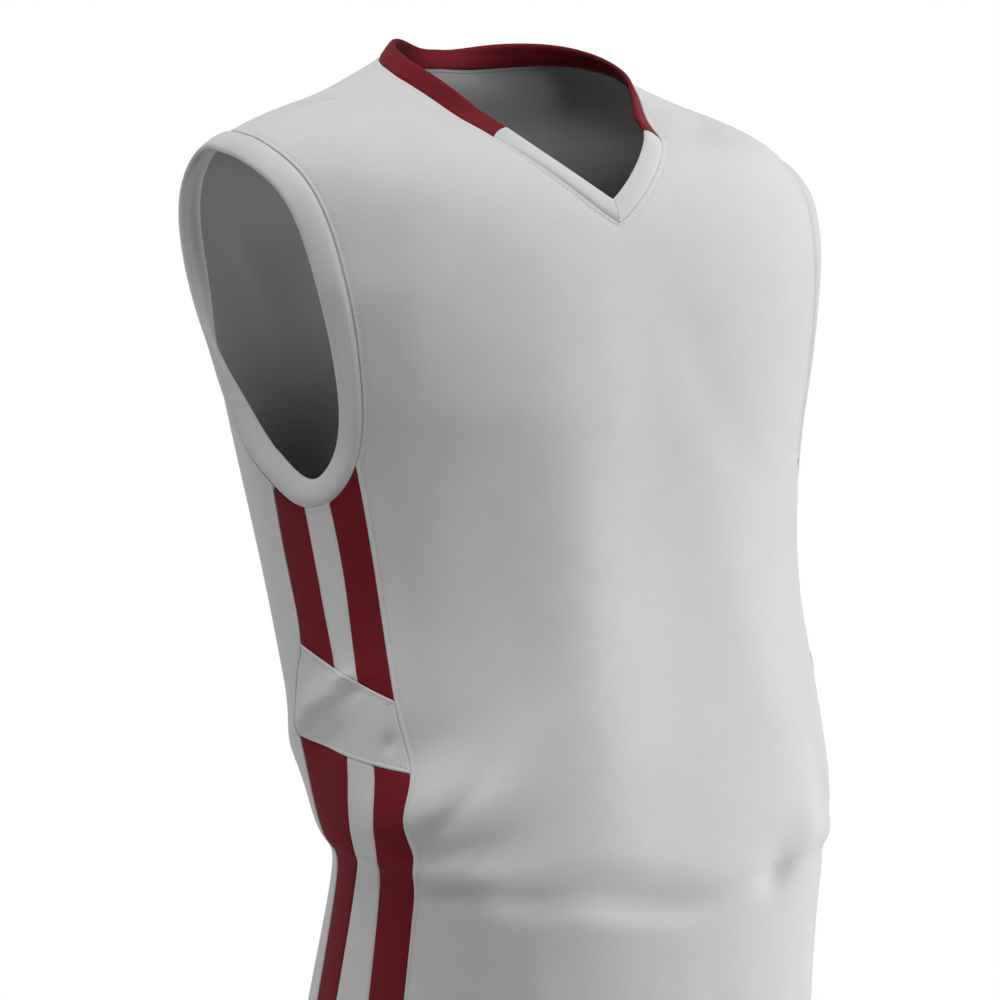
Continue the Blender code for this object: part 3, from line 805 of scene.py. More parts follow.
# %% Whole grids of the panels
strip_at, join_at = neck_at["strip_front"], neck_at["strip_back"]
front_arm = arm[: arm_at["front_seam"] + 1, :2][::-1]
front_half, front_corner, front_neck = half_panel(
    0.0, front_seam, front_arm, neck[: strip_at + 1, :2], strip_front, FRONT_ARM_LEVEL
)
back_arm = arm[arm_at["rear_seam"] : arm_at["strip_back"] + 1, :2]
back_half, back_corner, back_neck = half_panel(
    180.0, rear_seam, back_arm, neck[join_at:, :2][::-1], strip_back, BACK_ARM_LEVEL
)
front_grid = np.concatenate([on_right(front_half)[:, :0:-1], front_half], axis=1)
turned_half = on_right(back_half) + np.array([360.0, 0.0])
back_grid = np.concatenate([back_half[:, ::-1], turned_half[:, 1:]], axis=1)
print("front grid:", front_grid.shape[:2], "back grid:", back_grid.shape[:2])


# %% Front and back panels
def panel_edges(corner, neck_columns, seam_kinds, arm_kind, top_kind, strip_kind):
    """Makes a function that reads a panel's seams off its own grid."""

    def edges(base):
        middle = base.shape[1] // 2
        spread = neck_columns - 1
        found = [(base[0], "hem")]
        for column, seam_kind in zip((0, -1), seam_kinds):
            found.append((base[: corner, column], seam_kind))
            found.append((base[corner - 1 :, column], arm_kind))
        found.append((base[-1, middle - spread : middle + 1], top_kind))
        found.append((base[-1, middle : middle + spread + 1], top_kind))
        found.append((base[-1, : middle - spread + 1], strip_kind))
        found.append((base[-1, middle + spread :], strip_kind))
        return found

    return edges


front_seams, back_seams = ("turned_right", "turned_left"), ("turned", "turned")
front_edges = panel_edges(front_corner, front_neck, front_seams, "stitched", "stitched", "turned")
back_edges = panel_edges(back_corner, back_neck, back_seams, "stitched", "stitched", "turned")
dress("front_panel_cloth", front_grid, front_edges, 1)
dress("back_panel_cloth", back_grid, back_edges, 2, behind=True)
for name in ("front_panel_cloth", "back_panel_cloth"):
    print(name, round(area_of(PIECES[name]), 4), "m2 of cloth")

# %% [markdown]
# ## Shoulder strips
# A strip the width of a finger joins front and back over each shoulder, so that no seam rubs
# on top of it.  It lies under the lips of both panels.

# %% Shoulder strips
STRIP_ROW = 0.0028
STRIP_COLUMN = 0.0034

neck_end = neck[strip_at : join_at + 1, :2]
arm_end = np.concatenate([arm[arm_at["strip_back"] :, :2], arm[:1, :2]])[::-1]
strip_up = spaced(path_length(neck_end), STRIP_ROW)
strip_across = spaced(path_length(strip_front), STRIP_COLUMN)
strip_grid = patch(
    resample(neck_end, strip_up), resample(arm_end, strip_up),
    resample(strip_front, strip_across), resample(strip_back, strip_across),
    strip_across, strip_up, 1,
)


def strip_edges(base):
    """The strip dips under both panels and is stitched at the neck and the armhole."""
    seams = [(base[0], "under"), (base[-1], "under")]
    return seams + [(base[:, 0], "stitched"), (base[:, -1], "stitched")]


dress("shoulder_strip_left_cloth", strip_grid, strip_edges, 3)
dress("shoulder_strip_right_cloth", on_right(strip_grid), strip_edges, 4)
print("strip grid:", strip_grid.shape[:2])

# %% [markdown]
# ## The sides
# Under each arm run two red stripes with a white one between, above and below a white band
# that crosses them.  They are separate narrow pieces sewn edge to edge.  The front and back
# panels and the band lie over them, so the stripes dip at their edges.

# %% Grids of the side pieces
# Each zone: lower and upper level at the front seam, then at the rear seam.
LOW_ZONE = ((0.0, BAND_FRONT[0]), (0.0, BAND_REAR[0]))
BAND_ZONE = (BAND_FRONT, BAND_REAR)
HIGH_ZONE = (
    (BAND_FRONT[1], arm[arm_at["front_seam"], 1]),
    (BAND_REAR[1], arm[arm_at["rear_seam"], 1]),
)
# The part of the armhole that each upper stripe climbs to.
ARM_PARTS = (
    ("front_seam", "front_stripe"),
    ("front_stripe", "rear_stripe"),
    ("rear_stripe", "rear_seam"),
)


def side_grid(zone, stripe, up, across):
    """Seats of one side piece: rows mix the front and rear seams by the stripe's shares.

    A stripe of the upper zone sags to the armhole with the square of its climb."""
    (front_low, front_high), (rear_low, rear_high) = zone
    front_level = front_low + up * (front_high - front_low)
    rear_level = rear_low + up * (rear_high - rear_low)
    front_row = np.stack([side_values(front_level)[:, 0], front_level], -1)[:, None]
    rear_row = np.stack([side_values(rear_level)[:, 1], rear_level], -1)[:, None]
    shares = side_values(np.minimum(front_level, 6.0))[:, 2:]
    marks = np.concatenate([np.zeros((len(up), 1)), shares, np.ones((len(up), 1))], axis=1)
    first, last = (0, 3) if stripe is None else (stripe, stripe + 1)
    share = marks[:, first, None] * (1 - across) + marks[:, last, None] * across
    grid = front_row * (1 - share[..., None]) + rear_row * share[..., None]
    if zone is HIGH_ZONE:
        start, stop = (arm_at[name] for name in ARM_PARTS[stripe])
        sag = resample(arm[start : stop + 1, :2], across) - grid[-1]
        grid = grid + sag * up[:, None, None] ** 2
    return grid


print("band at the front seam:", round((BAND_FRONT[1] - BAND_FRONT[0]), 2), "levels high")

# %% Side pieces
SIDE_ROW = 0.0030
SIDE_COLUMN = 0.0026
# name, zone, stripe from the front, height and width in metres, lower edge, upper edge
SIDE_PIECES = (
    ("front_stripe_lower", LOW_ZONE, 0, 0.48, 0.055, "hem", "under"),
    ("centre_stripe_lower", LOW_ZONE, 1, 0.48, 0.045, "hem", "under"),
    ("rear_stripe_lower", LOW_ZONE, 2, 0.48, 0.055, "hem", "under"),
    ("front_stripe_upper", HIGH_ZONE, 0, 0.13, 0.045, "under", "stitched"),
    ("centre_stripe_upper", HIGH_ZONE, 1, 0.13, 0.035, "under", "stitched"),
    ("rear_stripe_upper", HIGH_ZONE, 2, 0.13, 0.045, "under", "stitched"),
    ("cross_band", BAND_ZONE, None, 0.045, 0.13, "stitched", "stitched"),
)


def side_edges(low, high, front):
    """Makes a function that reads the edges of one side piece; its rear edge dips under."""

    def edges(base):
        return [(base[0], low), (base[-1], high), (base[:, 0], front), (base[:, -1], "under")]

    return edges


for k, (name, zone, stripe, tall, wide, low, high) in enumerate(SIDE_PIECES):
    seats = side_grid(zone, stripe, spaced(tall, SIDE_ROW), spaced(wide, SIDE_COLUMN))
    fronts = ("under", "under") if stripe in (1, 2) else ("under_left", "under_right")
    dress(f"{name}_left_cloth", seats, side_edges(low, high, fronts[0]), 5 + 2 * k)
    dress(f"{name}_right_cloth", on_right(seats), side_edges(low, high, fronts[1]), 6 + 2 * k)
    print(name, seats.shape[:2], round(area_of(PIECES[f"{name}_left_cloth"]), 5), "m2")

# %% [markdown]
# ## Folded rib at the armholes and the neck
# The openings are bound with a strip of stretchy rib folded in half over the raw edge.  A fold
# that is under tension stands up round and full.  The strip is swept along the seam, and it is
# a folded sheet rather than a solid bead, so its two layers meet inside.

# %% Profiles of the fold
RIB_CLOTH = 0.0007
# place, distance from the seam, height above the cloth, in metres
BINDING_PROFILE = (
    ("tuck_outer", -0.0012, -0.0010),
    ("seam_outer", 0.0003, -0.0006),
    ("rise", 0.0020, 0.0010),
    ("shoulder", 0.0048, 0.0021),
    ("crown", 0.0092, 0.0026),
    ("slope", 0.0140, 0.0021),
    ("rim_outer", 0.0174, 0.0008),
    ("rim", 0.0184, -0.0006),
    ("rim_inner", 0.0174, -0.0020),
    ("inner", 0.0110, -0.0032),
    ("inner_low", 0.0040, -0.0029),
    ("tuck_inner", -0.0012, -0.0020),
)
COLLAR_PROFILE = (
    ("tuck_outer", -0.0010, -0.0010),
    ("seam_outer", 0.0003, -0.0006),
    ("rise", 0.0015, 0.0006),
    ("shoulder", 0.0036, 0.0013),
    ("crown", 0.0072, 0.0016),
    ("slope", 0.0112, 0.0014),
    ("rim_outer", 0.0138, 0.0007),
    ("rim", 0.0145, -0.0004),
    ("rim_inner", 0.0138, -0.0015),
    ("inner", 0.0088, -0.0024),
    ("inner_low", 0.0034, -0.0024),
    ("tuck_inner", -0.0010, -0.0019),
)
print("a binding stands", BINDING_PROFILE[4][2] * 1000, "mm over the cloth")


# %% Sweep of a folded rib
# A rib turns by this many times the seam's own angle, within this share of its width.
TURN_GAIN = 1.35
TURN_SHARE = 0.45
TURN_STEPS = 48


def smooth_profile(profile, count):
    """The profile's curve at `count` even places, as (distance, height)."""
    rows = np.array([row[1:] for row in profile])
    travel = lengths(rows)
    return natural_curve(travel, rows, np.linspace(0, travel[-1], count))


def sweep(seam, closed, profile, width, side):
    """Sections of a folded rib along a seam: array (stations, profile, 3).

    The rib leaves the seam towards the opening and turns away from the body by the seam's
    own angle, most of it near the seam.  The turn is summed in small steps, and the profile
    stands across the turned line."""
    base = surface(seam[:, :2])
    normal = outward(seam[:, :2])
    if closed:
        along = unit(np.roll(base, -1, axis=0) - np.roll(base, 1, axis=0))
    else:
        along = unit(np.gradient(base, axis=0))
    base = base + normal * crease_height(base, normal)[:, None]
    into = unit(np.cross(normal, along)) * side
    normal = unit(np.cross(along, into)) * side
    steps = np.linspace(0, 1, TURN_STEPS + 1)
    bend = TURN_GAIN * np.clip(steps / TURN_SHARE, 0, 1) * np.radians(seam[:, 2:])
    run = np.cumsum(np.cos(bend), axis=1) * width / TURN_STEPS
    rise = np.cumsum(np.sin(bend), axis=1) * width / TURN_STEPS
    run, rise = run - run[:, :1], rise - rise[:, :1]
    away, height = profile.T
    place = np.clip(away / width, 0, 1) * TURN_STEPS
    low = np.minimum(place.astype(int), TURN_STEPS - 1)
    part = place - low
    tilt = bend[:, low] * (1 - part) + bend[:, low + 1] * part
    spare = away - np.clip(away, 0, width)
    forward = run[:, low] * (1 - part) + run[:, low + 1] * part
    upward = rise[:, low] * (1 - part) + rise[:, low + 1] * part
    forward = forward + spare * np.cos(tilt) - height * np.sin(tilt)
    upward = upward + spare * np.sin(tilt) + height * np.cos(tilt)
    return base[:, None] + into[:, None] * forward[..., None] + normal[:, None] * upward[..., None]


print("rib thickness:", RIB_CLOTH * 1000, "mm")


# %% Shell of a folded rib
def rib_shell(name, sections, closed):
    """Folded rib: the swept outer face, and an inner face one cloth thickness inside the fold.

    The normal is the step along crossed with the step round the profile, turned outwards."""
    across = np.gradient(sections, axis=1)
    if closed:
        along = np.roll(sections, -1, axis=0) - np.roll(sections, 1, axis=0)
    else:
        along = np.gradient(sections, axis=0)
    facing = unit(np.cross(along, across))
    middle = (sections[:, :1] + sections[:, len(sections[0]) // 2, None]) / 2
    bulge = np.sum(facing * (sections - middle), axis=(1, 2), keepdims=True)
    facing = facing * np.sign(bulge)
    inner = sections - facing * RIB_CLOTH
    wrapped = np.concatenate([sections, sections[:1]]) if closed else sections
    run = np.linalg.norm(np.diff(wrapped[:, len(wrapped[0]) // 3], axis=0), axis=1)
    width = np.linalg.norm(np.diff(sections[0], axis=0), axis=1)
    u = np.concatenate([[0.0], np.cumsum(run)])
    v = np.concatenate([[0.0], np.cumsum(width)])
    yarn = np.stack(np.meshgrid(u, v, indexing="ij"), -1)
    return cloth_shell(name, sections, inner, yarn, ring=closed)


# %% Armhole bindings
BINDING_WIDTH = 0.0183
BINDING_POINTS = 33
binding_line = smooth_profile(BINDING_PROFILE, BINDING_POINTS)
for name, seats, side in (("left", arm, 1.0), ("right", on_right(arm), -1.0)):
    sections = sweep(seats, True, binding_line, BINDING_WIDTH, side)
    binding = rib_shell(f"armhole_binding_{name}_rib", sections, True)
    print("binding", name, sections.shape[:2], round(area_of(binding), 4), "m2")

# %% [markdown]
# ## Collar
# The collar is two kinds of rib: red round the back, and white down each side of the V.  The
# white ends meet in a mitre, where each strip is cut along the centre line.  The joint between
# red and white is a seam too, and it bows a little because the rib stretches round the curve.

# %% Collar swept round the neck
COLLAR_WIDTH = 0.0142
COLLAR_POINTS = 29
collar_line = smooth_profile(COLLAR_PROFILE, COLLAR_POINTS)


def cut_sections(sections, starts, ends, shares):
    """Each profile line of a sweep, cut to its own start and end and spaced by shares."""
    travel = lengths(sections[:, 0])
    made = np.empty((len(shares), sections.shape[1], 3))
    for k in range(sections.shape[1]):
        at = starts[k] + (ends[k] - starts[k]) * shares
        for axis in range(3):
            made[:, k, axis] = np.interp(at, travel, sections[:, k, axis])
    return made


neck_sections = sweep(neck, False, collar_line, COLLAR_WIDTH, 1.0)
neck_sections[-1, :, 0] = 0.0
neck_travel = lengths(neck_sections[:, 0])
print("collar round the neck:", round(2 * float(neck_travel[-1]), 3), "m")

# %% Mitre, joint and the pieces of the collar
MITRE_GAP = 0.0002
JOINT_GAP = 0.0001
JOINT_BOW = 0.0015
WHITE_STEP = 0.0030
RED_STEP = 0.0032

near_point = neck_sections[: neck_at["rib_join"], :, 0]
near_travel = neck_travel[: len(near_point)]
mitre = np.array([np.interp(MITRE_GAP, line, near_travel) for line in near_point.T])
bow = JOINT_BOW * np.sin(np.pi * np.clip(collar_line[:, 0] / COLLAR_WIDTH, 0, 1))
joint = neck_travel[neck_at["rib_join"]] + bow
finish_line = np.full(len(bow), neck_travel[-1])
white_shares = spaced(float(joint.mean()), WHITE_STEP)
red_shares = spaced(float(finish_line.mean() - joint.mean()), RED_STEP, True, False)
white_left = cut_sections(neck_sections, mitre, joint - JOINT_GAP, white_shares)
red_left = cut_sections(neck_sections, joint + JOINT_GAP, finish_line, red_shares)
mirror = np.array([-1.0, 1.0, 1.0])
rib_shell("collar_front_left_rib", white_left, False)
rib_shell("collar_front_right_rib", white_left * mirror, False)
rib_shell("collar_back_rib", np.concatenate([red_left, (red_left * mirror)[-2::-1]]), False)
print("white collar:", white_left.shape[:2], "half of the red one:", red_left.shape[:2])

# %% [markdown]
# ## Thread
# The stitches are real little lengths of thread lying in the grooves.  One rounded capsule is
# made once and copied along each line at an even pitch.  A line of stitches keeps the same real
# distance from its seam all the way, so it is found on the cloth and not in degrees.

# %% A line beside a seam
def shifted(seats, side, away):
    """Seats moved by a real distance away from a seam, across it on the form.

    The move is turned into degrees and levels through the form's two tangent steps."""
    base, normal = surface(seats), outward(seats)
    along = unit(np.gradient(base, axis=0))
    shift = unit(np.cross(normal, along)) * (side * away)
    per_degree = surface(seats + (0.5, 0.0)) - surface(seats - (0.5, 0.0))
    per_level = (surface(seats + (0.0, 0.02)) - surface(seats - (0.0, 0.02))) / 0.04
    long, tall = np.sum(per_degree**2, -1), np.sum(per_level**2, -1)
    skew = np.sum(per_degree * per_level, -1)
    a, b = np.sum(shift * per_degree, -1), np.sum(shift * per_level, -1)
    scale = long * tall - skew**2
    return seats + np.stack([(a * tall - b * skew) / scale, (b * long - a * skew) / scale], -1)


def path_of(seats, first, last):
    """Part of a seam between two stations, wrapping past the last one if need be."""
    if last > first:
        return seats[first : last + 1, :2]
    return np.concatenate([seats[first:, :2], seats[: last + 1, :2]])


STITCH_AWAY = 0.0034
print("stitches lie", STITCH_AWAY * 1000, "mm from a seam")


# %% One stitch
PITCH = 0.0032
STITCH = 0.0022
THREAD = 0.00028
STITCH_SIDES = 5
# share of the length from the middle, share of the radius
STITCH_RINGS = ((-0.42, 0.75), (-0.2, 1.0), (0.2, 1.0), (0.42, 0.75))


def capsule(length, radius):
    """Small rounded rod along x: rings of five points whose size follows a table, closed by a
    point at each end, and the triangles between them."""
    along, size = np.array(STITCH_RINGS).T[..., None]
    corner = np.arange(STITCH_SIDES)
    turn = corner * 2 * np.pi / STITCH_SIDES
    rings = [along + 0 * turn, size * np.cos(turn), size * np.sin(turn)]
    body = np.stack(rings, -1).reshape(-1, 3)
    tips = np.array([(-0.5, 0.0, 0.0), (0.5, 0.0, 0.0)])
    points = np.concatenate([tips[:1], body, tips[1:]]) * (length, radius, radius)
    last = len(points) - 1
    here, beside = 1 + corner, 1 + (corner + 1) % STITCH_SIDES
    to_last_ring = last - STITCH_SIDES - 1
    start = np.stack([0 * here, beside, here], -1)
    end = np.stack([0 * here + last, here + to_last_ring, beside + to_last_ring], -1)
    rows = STITCH_SIDES * np.arange(len(STITCH_RINGS) - 1)[:, None]
    low, high = here + rows, beside + rows
    next_low, next_high = low + STITCH_SIDES, high + STITCH_SIDES
    sides = [np.stack([low, high, next_high], -1), np.stack([low, next_high, next_low], -1)]
    return points, np.concatenate([start, end] + [side.reshape(-1, 3) for side in sides])


rod, rod_faces = capsule(STITCH, THREAD)
print("a stitch has", len(rod), "points and", len(rod_faces), "faces")

# %% A line of stitches
AIM = 0.0008


def stitch_line(seats, lift):
    """Places along a line at the stitch pitch: centres, directions and normals.

    A direction is the step from a little before the centre to a little after it."""
    base, normal = surface(seats), outward(seats)
    base = base + normal * (crease_height(base, normal) + lift)[:, None]
    travel = lengths(base)
    count = max(int(travel[-1] / PITCH), 1)
    at = (np.arange(count) + 0.5) * travel[-1] / count

    def read(places, table):
        return np.stack([np.interp(places, travel, column) for column in table.T], -1)

    ahead, before = read(at + AIM, base), read(at - AIM, base)
    return read(at, base), unit(ahead - before), unit(read(at, normal))


def sew(name, lines):
    """One object for all stitches of one thread; each line is (seats, lift)."""
    parts = [stitch_line(seats, lift) for seats, lift in lines]
    centre, along, normal = (np.concatenate([part[k] for part in parts]) for k in range(3))
    across = unit(np.cross(normal, along))
    up = np.cross(along, across)
    points = (
        centre[:, None]
        + rod[:, 0, None] * along[:, None]
        + rod[:, 1, None] * across[:, None]
        + rod[:, 2, None] * up[:, None]
    ).reshape(-1, 3)
    all_faces = (rod_faces + (np.arange(len(centre)) * len(rod))[:, None, None]).reshape(-1, 3)
    mesh = bpy.data.meshes.new(name)
    mesh.from_pydata(points.tolist(), [], all_faces.tolist())
    add_piece(name, mesh)
    print(name, len(centre), "stitches")


# %% Thread at the armholes and the bands
# Heights over the cloth: the thread sinks in a little, or lies under the inner face.
ON_TOP = -0.00012
UNDERNEATH = -(CLOTH + 0.0002)
BAND_PLACES = np.linspace(0.02, 0.98, 90)
red_first, red_last = arm_at["front_seam"], arm_at["front_stripe"]
back_first, back_last = arm_at["rear_stripe"], arm_at["rear_seam"]
for hand, side in (("left", 1.0), ("right", -1.0)):
    turn = (lambda seats: seats) if side > 0 else on_right
    around = turn(arm)
    white = [
        path_of(around, back_last, arm_at["strip_back"]),
        path_of(around, arm_at["strip_back"], red_first),
        path_of(around, red_last, back_first),
    ]
    red = [path_of(around, red_first, red_last), path_of(around, back_first, back_last)]
    for name, paths in (("armhole_thread", white), ("armhole_red_thread", red)):
        lines = [(shifted(path, -side, STITCH_AWAY), ON_TOP) for path in paths]
        sew(f"{name}_{hand}", lines)
    band_lines = []
    for up_share, push in ((0.0, 1.0), (1.0, -1.0)):
        edge = side_grid(BAND_ZONE, None, np.array([up_share]), BAND_PLACES)[0]
        band_lines.append((shifted(turn(edge), side * push, STITCH_AWAY), ON_TOP))
    sew(f"band_thread_{hand}", band_lines)

# %% Thread at the neck and the hem
# The two rows of the hem, in metres above its edge, and how tall the lowest level is there.
HEM_ROWS = (0.0165, 0.0205)
LOWEST_LEVEL = 0.105
HEM_SINK = -0.0002

around_neck = np.concatenate([neck[:-1, :2], (on_right(neck)[::-1, :2] + (360.0, 0.0))])
neck_line = shifted(around_neck, -1.0, STITCH_AWAY)[3:-3]
sew("collar_thread", [(neck_line, ON_TOP)])
sew("collar_inner_thread", [(neck_line, UNDERNEATH)])
hem_angles = np.linspace(-180, 180, 500)
hem_lines = []
for row in HEM_ROWS:
    level = np.full_like(hem_angles, row / LOWEST_LEVEL)
    hem_lines.append((np.stack([hem_angles, level], -1), HEM_SINK))
sew("hem_thread", hem_lines)

# %% [markdown]
# ## Knit, rib and thread
# The cloth is a fine polyester knit, matte with a faint bloom where light grazes it.  Its loops
# stand in columns about a millimetre apart.  The pattern is one shared group that turns a place
# on the cloth into a height and a tone, so white and red cloth and the inside use the same yarn.

# %% Small tools for node trees
def add_group(name, inputs, outputs):
    """Empty node group with named sockets; returns the tree and its two end nodes."""
    tree = bpy.data.node_groups.new(name, "ShaderNodeTree")
    for title, kind, value in inputs:
        socket = tree.interface.new_socket(title, in_out="INPUT", socket_type=kind)
        if value is not None:
            socket.default_value = value
    for title, kind in outputs:
        tree.interface.new_socket(title, in_out="OUTPUT", socket_type=kind)
    return tree, tree.nodes.new("NodeGroupInput"), tree.nodes.new("NodeGroupOutput")


def math(tree, operation, first, second=None):
    """Math node on sockets or plain numbers; returns its output socket."""
    node = tree.nodes.new("ShaderNodeMath")
    node.operation = operation
    for socket, value in zip(node.inputs, (first, second)):
        if isinstance(value, (int, float)):
            socket.default_value = value
        elif value is not None:
            tree.links.new(value, socket)
    return node.outputs["Value"]


def noise(tree, vector, scale, detail):
    """Noise texture read at a vector; returns its value socket."""
    node = tree.nodes.new("ShaderNodeTexNoise")
    node.inputs["Scale"].default_value = scale
    node.inputs["Detail"].default_value = detail
    tree.links.new(vector, node.inputs["Vector"])
    return node.outputs["Fac"]


print("tools for node trees: add_group, math, noise")

# %% Knit pattern group
# How much each part adds to the height: the columns, the rows and the fuzz of the yarn.
WALE_PART, COURSE_PART, FUZZ_PART = 0.7, 0.22, 0.5
FUZZ_SIZE, FUZZ_DETAIL = 900.0, 2.0
CLOUD_SIZE, CLOUD_DETAIL = 38.0, 4.0
# The middle of each part and how much it changes the tone.  The loops' part is painted shade: it
# darkens the gaps between the raised loops and lightens their tops.
CLOUD_TONE, LOOP_PAINTED_SHADE, FUZZ_TONE = (0.5, 0.09), (0.45, 0.05), (0.5, 0.10)


def make_knit():
    """Height: columns |sin|, plus rows whose sine shifts by half a loop between columns, plus
    fine noise.  Tone: 1 plus what the loops, the fuzz and a slow noise differ from their
    middles by, each times its share; the loops' part is painted shade, darker between loops."""
    tree, start, end = add_group(
        "knit_yarn",
        [("Yarn", "NodeSocketVector", None), ("Column", "NodeSocketFloat", 0.0011),
         ("Row", "NodeSocketFloat", 0.0009), ("Place", "NodeSocketVector", None)],
        [("Height", "NodeSocketFloat"), ("Tone", "NodeSocketFloat")],
    )
    split = tree.nodes.new("ShaderNodeSeparateXYZ")
    tree.links.new(start.outputs["Yarn"], split.inputs["Vector"])
    column = math(tree, "DIVIDE", split.outputs["X"], start.outputs["Column"])
    row = math(tree, "DIVIDE", split.outputs["Y"], start.outputs["Row"])
    wale = math(tree, "ABSOLUTE", math(tree, "SINE", math(tree, "MULTIPLY", column, np.pi)))
    shift = math(tree, "PINGPONG", column, 0.5)
    course = math(tree, "SINE", math(tree, "MULTIPLY", math(tree, "ADD", row, shift), 2 * np.pi))
    wale_part = math(tree, "MULTIPLY", wale, WALE_PART)
    loops = math(tree, "ADD", wale_part, math(tree, "MULTIPLY", course, COURSE_PART))
    fuzz = noise(tree, start.outputs["Place"], FUZZ_SIZE, FUZZ_DETAIL)
    cloud = noise(tree, start.outputs["Place"], CLOUD_SIZE, CLOUD_DETAIL)
    height = math(tree, "ADD", loops, math(tree, "MULTIPLY", fuzz, FUZZ_PART))
    tone = 1.0
    for value, (middle, share) in ((cloud, CLOUD_TONE), (loops, LOOP_PAINTED_SHADE), (fuzz, FUZZ_TONE)):
        change = math(tree, "MULTIPLY", math(tree, "SUBTRACT", value, middle), share)
        tone = math(tree, "ADD", change, tone)
    tree.links.new(height, end.inputs["Height"])
    tree.links.new(tone, end.inputs["Tone"])
    return tree


knit = make_knit()
print("knit group:", len(knit.nodes), "nodes")


# %% Cloth finish
BUMP_METRES = 0.0002
SPECULAR = 0.25
SHEEN_ROUGHNESS = 0.45


def cloth_material(name, colour, column, row, bump, roughness, sheen):
    """Knit cloth: its colour times the yarn's tone, and the yarn's height as bump."""
    material = bpy.data.materials.new(name)
    material.use_nodes = True
    tree = material.node_tree
    shader = tree.nodes["Principled BSDF"]
    yarn = tree.nodes.new("ShaderNodeUVMap")
    yarn.uv_map = "yarn"
    place = tree.nodes.new("ShaderNodeTexCoord")
    pattern = tree.nodes.new("ShaderNodeGroup")
    pattern.node_tree = knit
    pattern.inputs["Column"].default_value = column
    pattern.inputs["Row"].default_value = row
    tree.links.new(yarn.outputs["UV"], pattern.inputs["Yarn"])
    tree.links.new(place.outputs["Object"], pattern.inputs["Place"])
    dyed = tree.nodes.new("ShaderNodeMix")
    dyed.data_type = "RGBA"
    dyed.blend_type = "MULTIPLY"
    dyed.inputs["Factor"].default_value = 1.0
    dyed.inputs["A"].default_value = (*colour, 1.0)
    tree.links.new(pattern.outputs["Tone"], dyed.inputs["B"])
    tree.links.new(dyed.outputs["Result"], shader.inputs["Base Color"])
    raised = tree.nodes.new("ShaderNodeBump")
    raised.inputs["Strength"].default_value = bump
    raised.inputs["Distance"].default_value = BUMP_METRES
    tree.links.new(pattern.outputs["Height"], raised.inputs["Height"])
    tree.links.new(raised.outputs["Normal"], shader.inputs["Normal"])
    shader.inputs["Roughness"].default_value = roughness
    shader.inputs["Specular IOR Level"].default_value = SPECULAR
    shader.inputs["Sheen Weight"].default_value = sheen
    shader.inputs["Sheen Roughness"].default_value = SHEEN_ROUGHNESS
    return material


# name: colour, column, row in metres, bump, roughness, sheen
CLOTHS = {
    "white_knit": ((0.802, 0.810, 0.808), 0.0011, 0.0009, 0.16, 0.85, 0.15),
    "red_knit": ((0.225, 0.012, 0.019), 0.0011, 0.0009, 0.16, 0.85, 0.04),
    "white_rib": ((0.782, 0.790, 0.788), 0.0014, 0.0007, 0.20, 0.85, 0.15),
    "red_rib": ((0.215, 0.012, 0.019), 0.0014, 0.0007, 0.20, 0.85, 0.04),
    # white_inside is painted shade: the inner face of the white cloth is the same white knit, set
    # grey because it lies in the jersey's own shadow.
    "white_inside": ((0.37, 0.375, 0.377), 0.0011, 0.0009, 0.14, 0.90, 0.10),
    "red_inside": ((0.225, 0.014, 0.021), 0.0011, 0.0009, 0.14, 0.88, 0.04),
    "white_thread": ((0.83, 0.84, 0.84), 0.0005, 0.0005, 0.20, 0.60, 0.20),
    # inner_thread is painted shade: the same white thread, set grey for the stitches inside the
    # collar, which lie in shadow.
    "inner_thread": ((0.34, 0.345, 0.35), 0.0005, 0.0005, 0.20, 0.60, 0.10),
    "red_thread": ((0.21, 0.018, 0.028), 0.0005, 0.0005, 0.20, 0.60, 0.10),
}
FINISH = {name: cloth_material(name, *row) for name, row in CLOTHS.items()}
print("finishes:", list(FINISH))

# %% [markdown]
# ## Which cloth goes where
# Each piece names the solid that it stands for, its cloth, and the size of the flat piece that
# a maker would cut for it.  The panels and stripes are draped, and the ribs are sewn on under
# tension, so that they hold the openings in.

# %% Cloth and cut sizes
# node, cloth, colour, hold, width and length of the cut in metres
CUTS = (
    ("front_panel", "knit", "white", "draped", 0.44, 0.72),
    ("back_panel", "knit", "white", "draped", 0.52, 0.76),
    ("shoulder_strip", "knit", "white", "draped", 0.035, 0.125),
    ("front_stripe_upper", "knit", "red", "draped", 0.028, 0.145),
    ("centre_stripe_upper", "knit", "white", "draped", 0.022, 0.130),
    ("rear_stripe_upper", "knit", "red", "draped", 0.026, 0.140),
    ("cross_band", "knit", "white", "draped", 0.130, 0.045),
    ("front_stripe_lower", "knit", "red", "draped", 0.026, 0.40),
    ("centre_stripe_lower", "knit", "white", "draped", 0.026, 0.40),
    ("rear_stripe_lower", "knit", "red", "draped", 0.028, 0.40),
    ("armhole_binding", "rib", "white", "stretched", 0.042, 0.66),
    ("collar_front", "rib", "white", "stretched", 0.034, 0.105),
    ("collar_back", "rib", "red", "stretched", 0.034, 0.46),
)
THREADS = {
    "front_panel": ["hem_thread"],
    "back_panel": ["collar_thread", "collar_inner_thread"],
    "armhole_binding": ["armhole_thread", "armhole_red_thread"],
    "cross_band": ["band_thread"],
}


def piece_of(node):
    """The shell that stands for a node."""
    return PIECES.get(f"{node}_cloth") or PIECES[f"{node}_rib"]


CUT_AREAS = {node: round(area_of(piece_of(node)), 4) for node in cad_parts}
print("cloth in all:", round(sum(CUT_AREAS.values()), 3), "m2")


# %% Nodes, finishes and cut sizes
def finish_piece(piece, node, kind, colour):
    """Materials, body and hidden node of one piece of cloth."""
    piece.data.materials.append(FINISH[f"{colour}_{kind}"])
    # The inner faces take the inside finish; for white pieces that is the grey white_inside,
    # painted shade.
    piece.data.materials.append(FINISH[f"{colour}_inside"])
    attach(piece, "root")
    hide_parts(node)


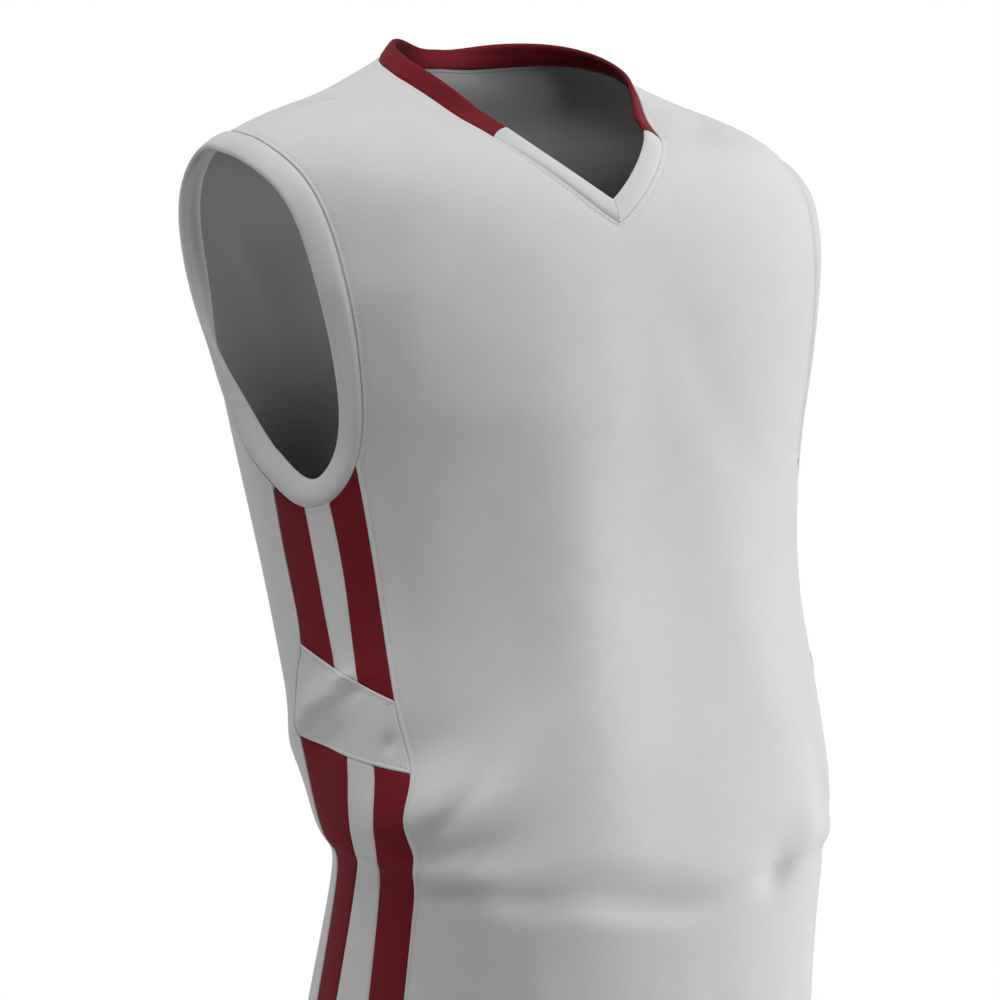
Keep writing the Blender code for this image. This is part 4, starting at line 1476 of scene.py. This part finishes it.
def finish_thread(name):
    """Thread: its material and its body."""
    # Thread inside the collar takes the grey inner_thread, painted shade.
    colour = next((tint for tint in ("red", "inner") if tint in name), "white")
    piece = PIECES[name]
    piece.data.materials.append(FINISH[f"{colour}_thread"])
    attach(piece, "root")
    return piece


for node, kind, colour, hold, width, length in CUTS:
    for name in (node, f"{node}_left", f"{node}_right"):
        if name not in CUT_AREAS:
            continue
        hand = name[len(node) :]
        threads = [finish_thread(t if t in PIECES else t + hand) for t in THREADS.get(node, [])]
        finish_piece(piece_of(name), name, kind, colour)
        print(name, "cut", width, "x", length, "m, area", CUT_AREAS[name])

# %% [markdown]
# ## The studio floor
# A plain pale disc stands well below the hem.  A bright floor throws light up into the folds and
# fills them, so this one is paler to the camera than to the light that bounces off it.

# %% Floor
FLOOR_Z = -0.95
FLOOR_RADIUS = 1.6
FLOOR_SIDES = 96
FLOOR_LIT = (0.6, 0.6, 0.6, 1.0)
FLOOR_SEEN = (0.95, 0.95, 0.95, 1.0)

turn = np.arange(FLOOR_SIDES) * 2 * np.pi / FLOOR_SIDES
rim = np.stack([FLOOR_RADIUS * np.cos(turn), FLOOR_RADIUS * np.sin(turn), FLOOR_Z + 0 * turn], -1)
floor_mesh = bpy.data.meshes.new("studio_floor")
floor_mesh.from_pydata(rim.tolist(), [], [tuple(range(FLOOR_SIDES))])
floor = bpy.data.objects.new("studio_floor", floor_mesh)
bpy.context.scene.collection.objects.link(floor)
pale = bpy.data.materials.new("pale_floor")
pale.use_nodes = True
paint = pale.node_tree.nodes["Principled BSDF"]
paint.inputs["Roughness"].default_value = 0.9
seen = pale.node_tree.nodes.new("ShaderNodeLightPath")
shade = pale.node_tree.nodes.new("ShaderNodeMix")
shade.data_type = "RGBA"
shade.inputs["A"].default_value = FLOOR_LIT
shade.inputs["B"].default_value = FLOOR_SEEN
pale.node_tree.links.new(seen.outputs["Is Camera Ray"], shade.inputs["Factor"])
pale.node_tree.links.new(shade.outputs["Result"], paint.inputs["Base Color"])
floor_mesh.materials.append(pale)
print("floor:", 2 * FLOOR_RADIUS, "m across")
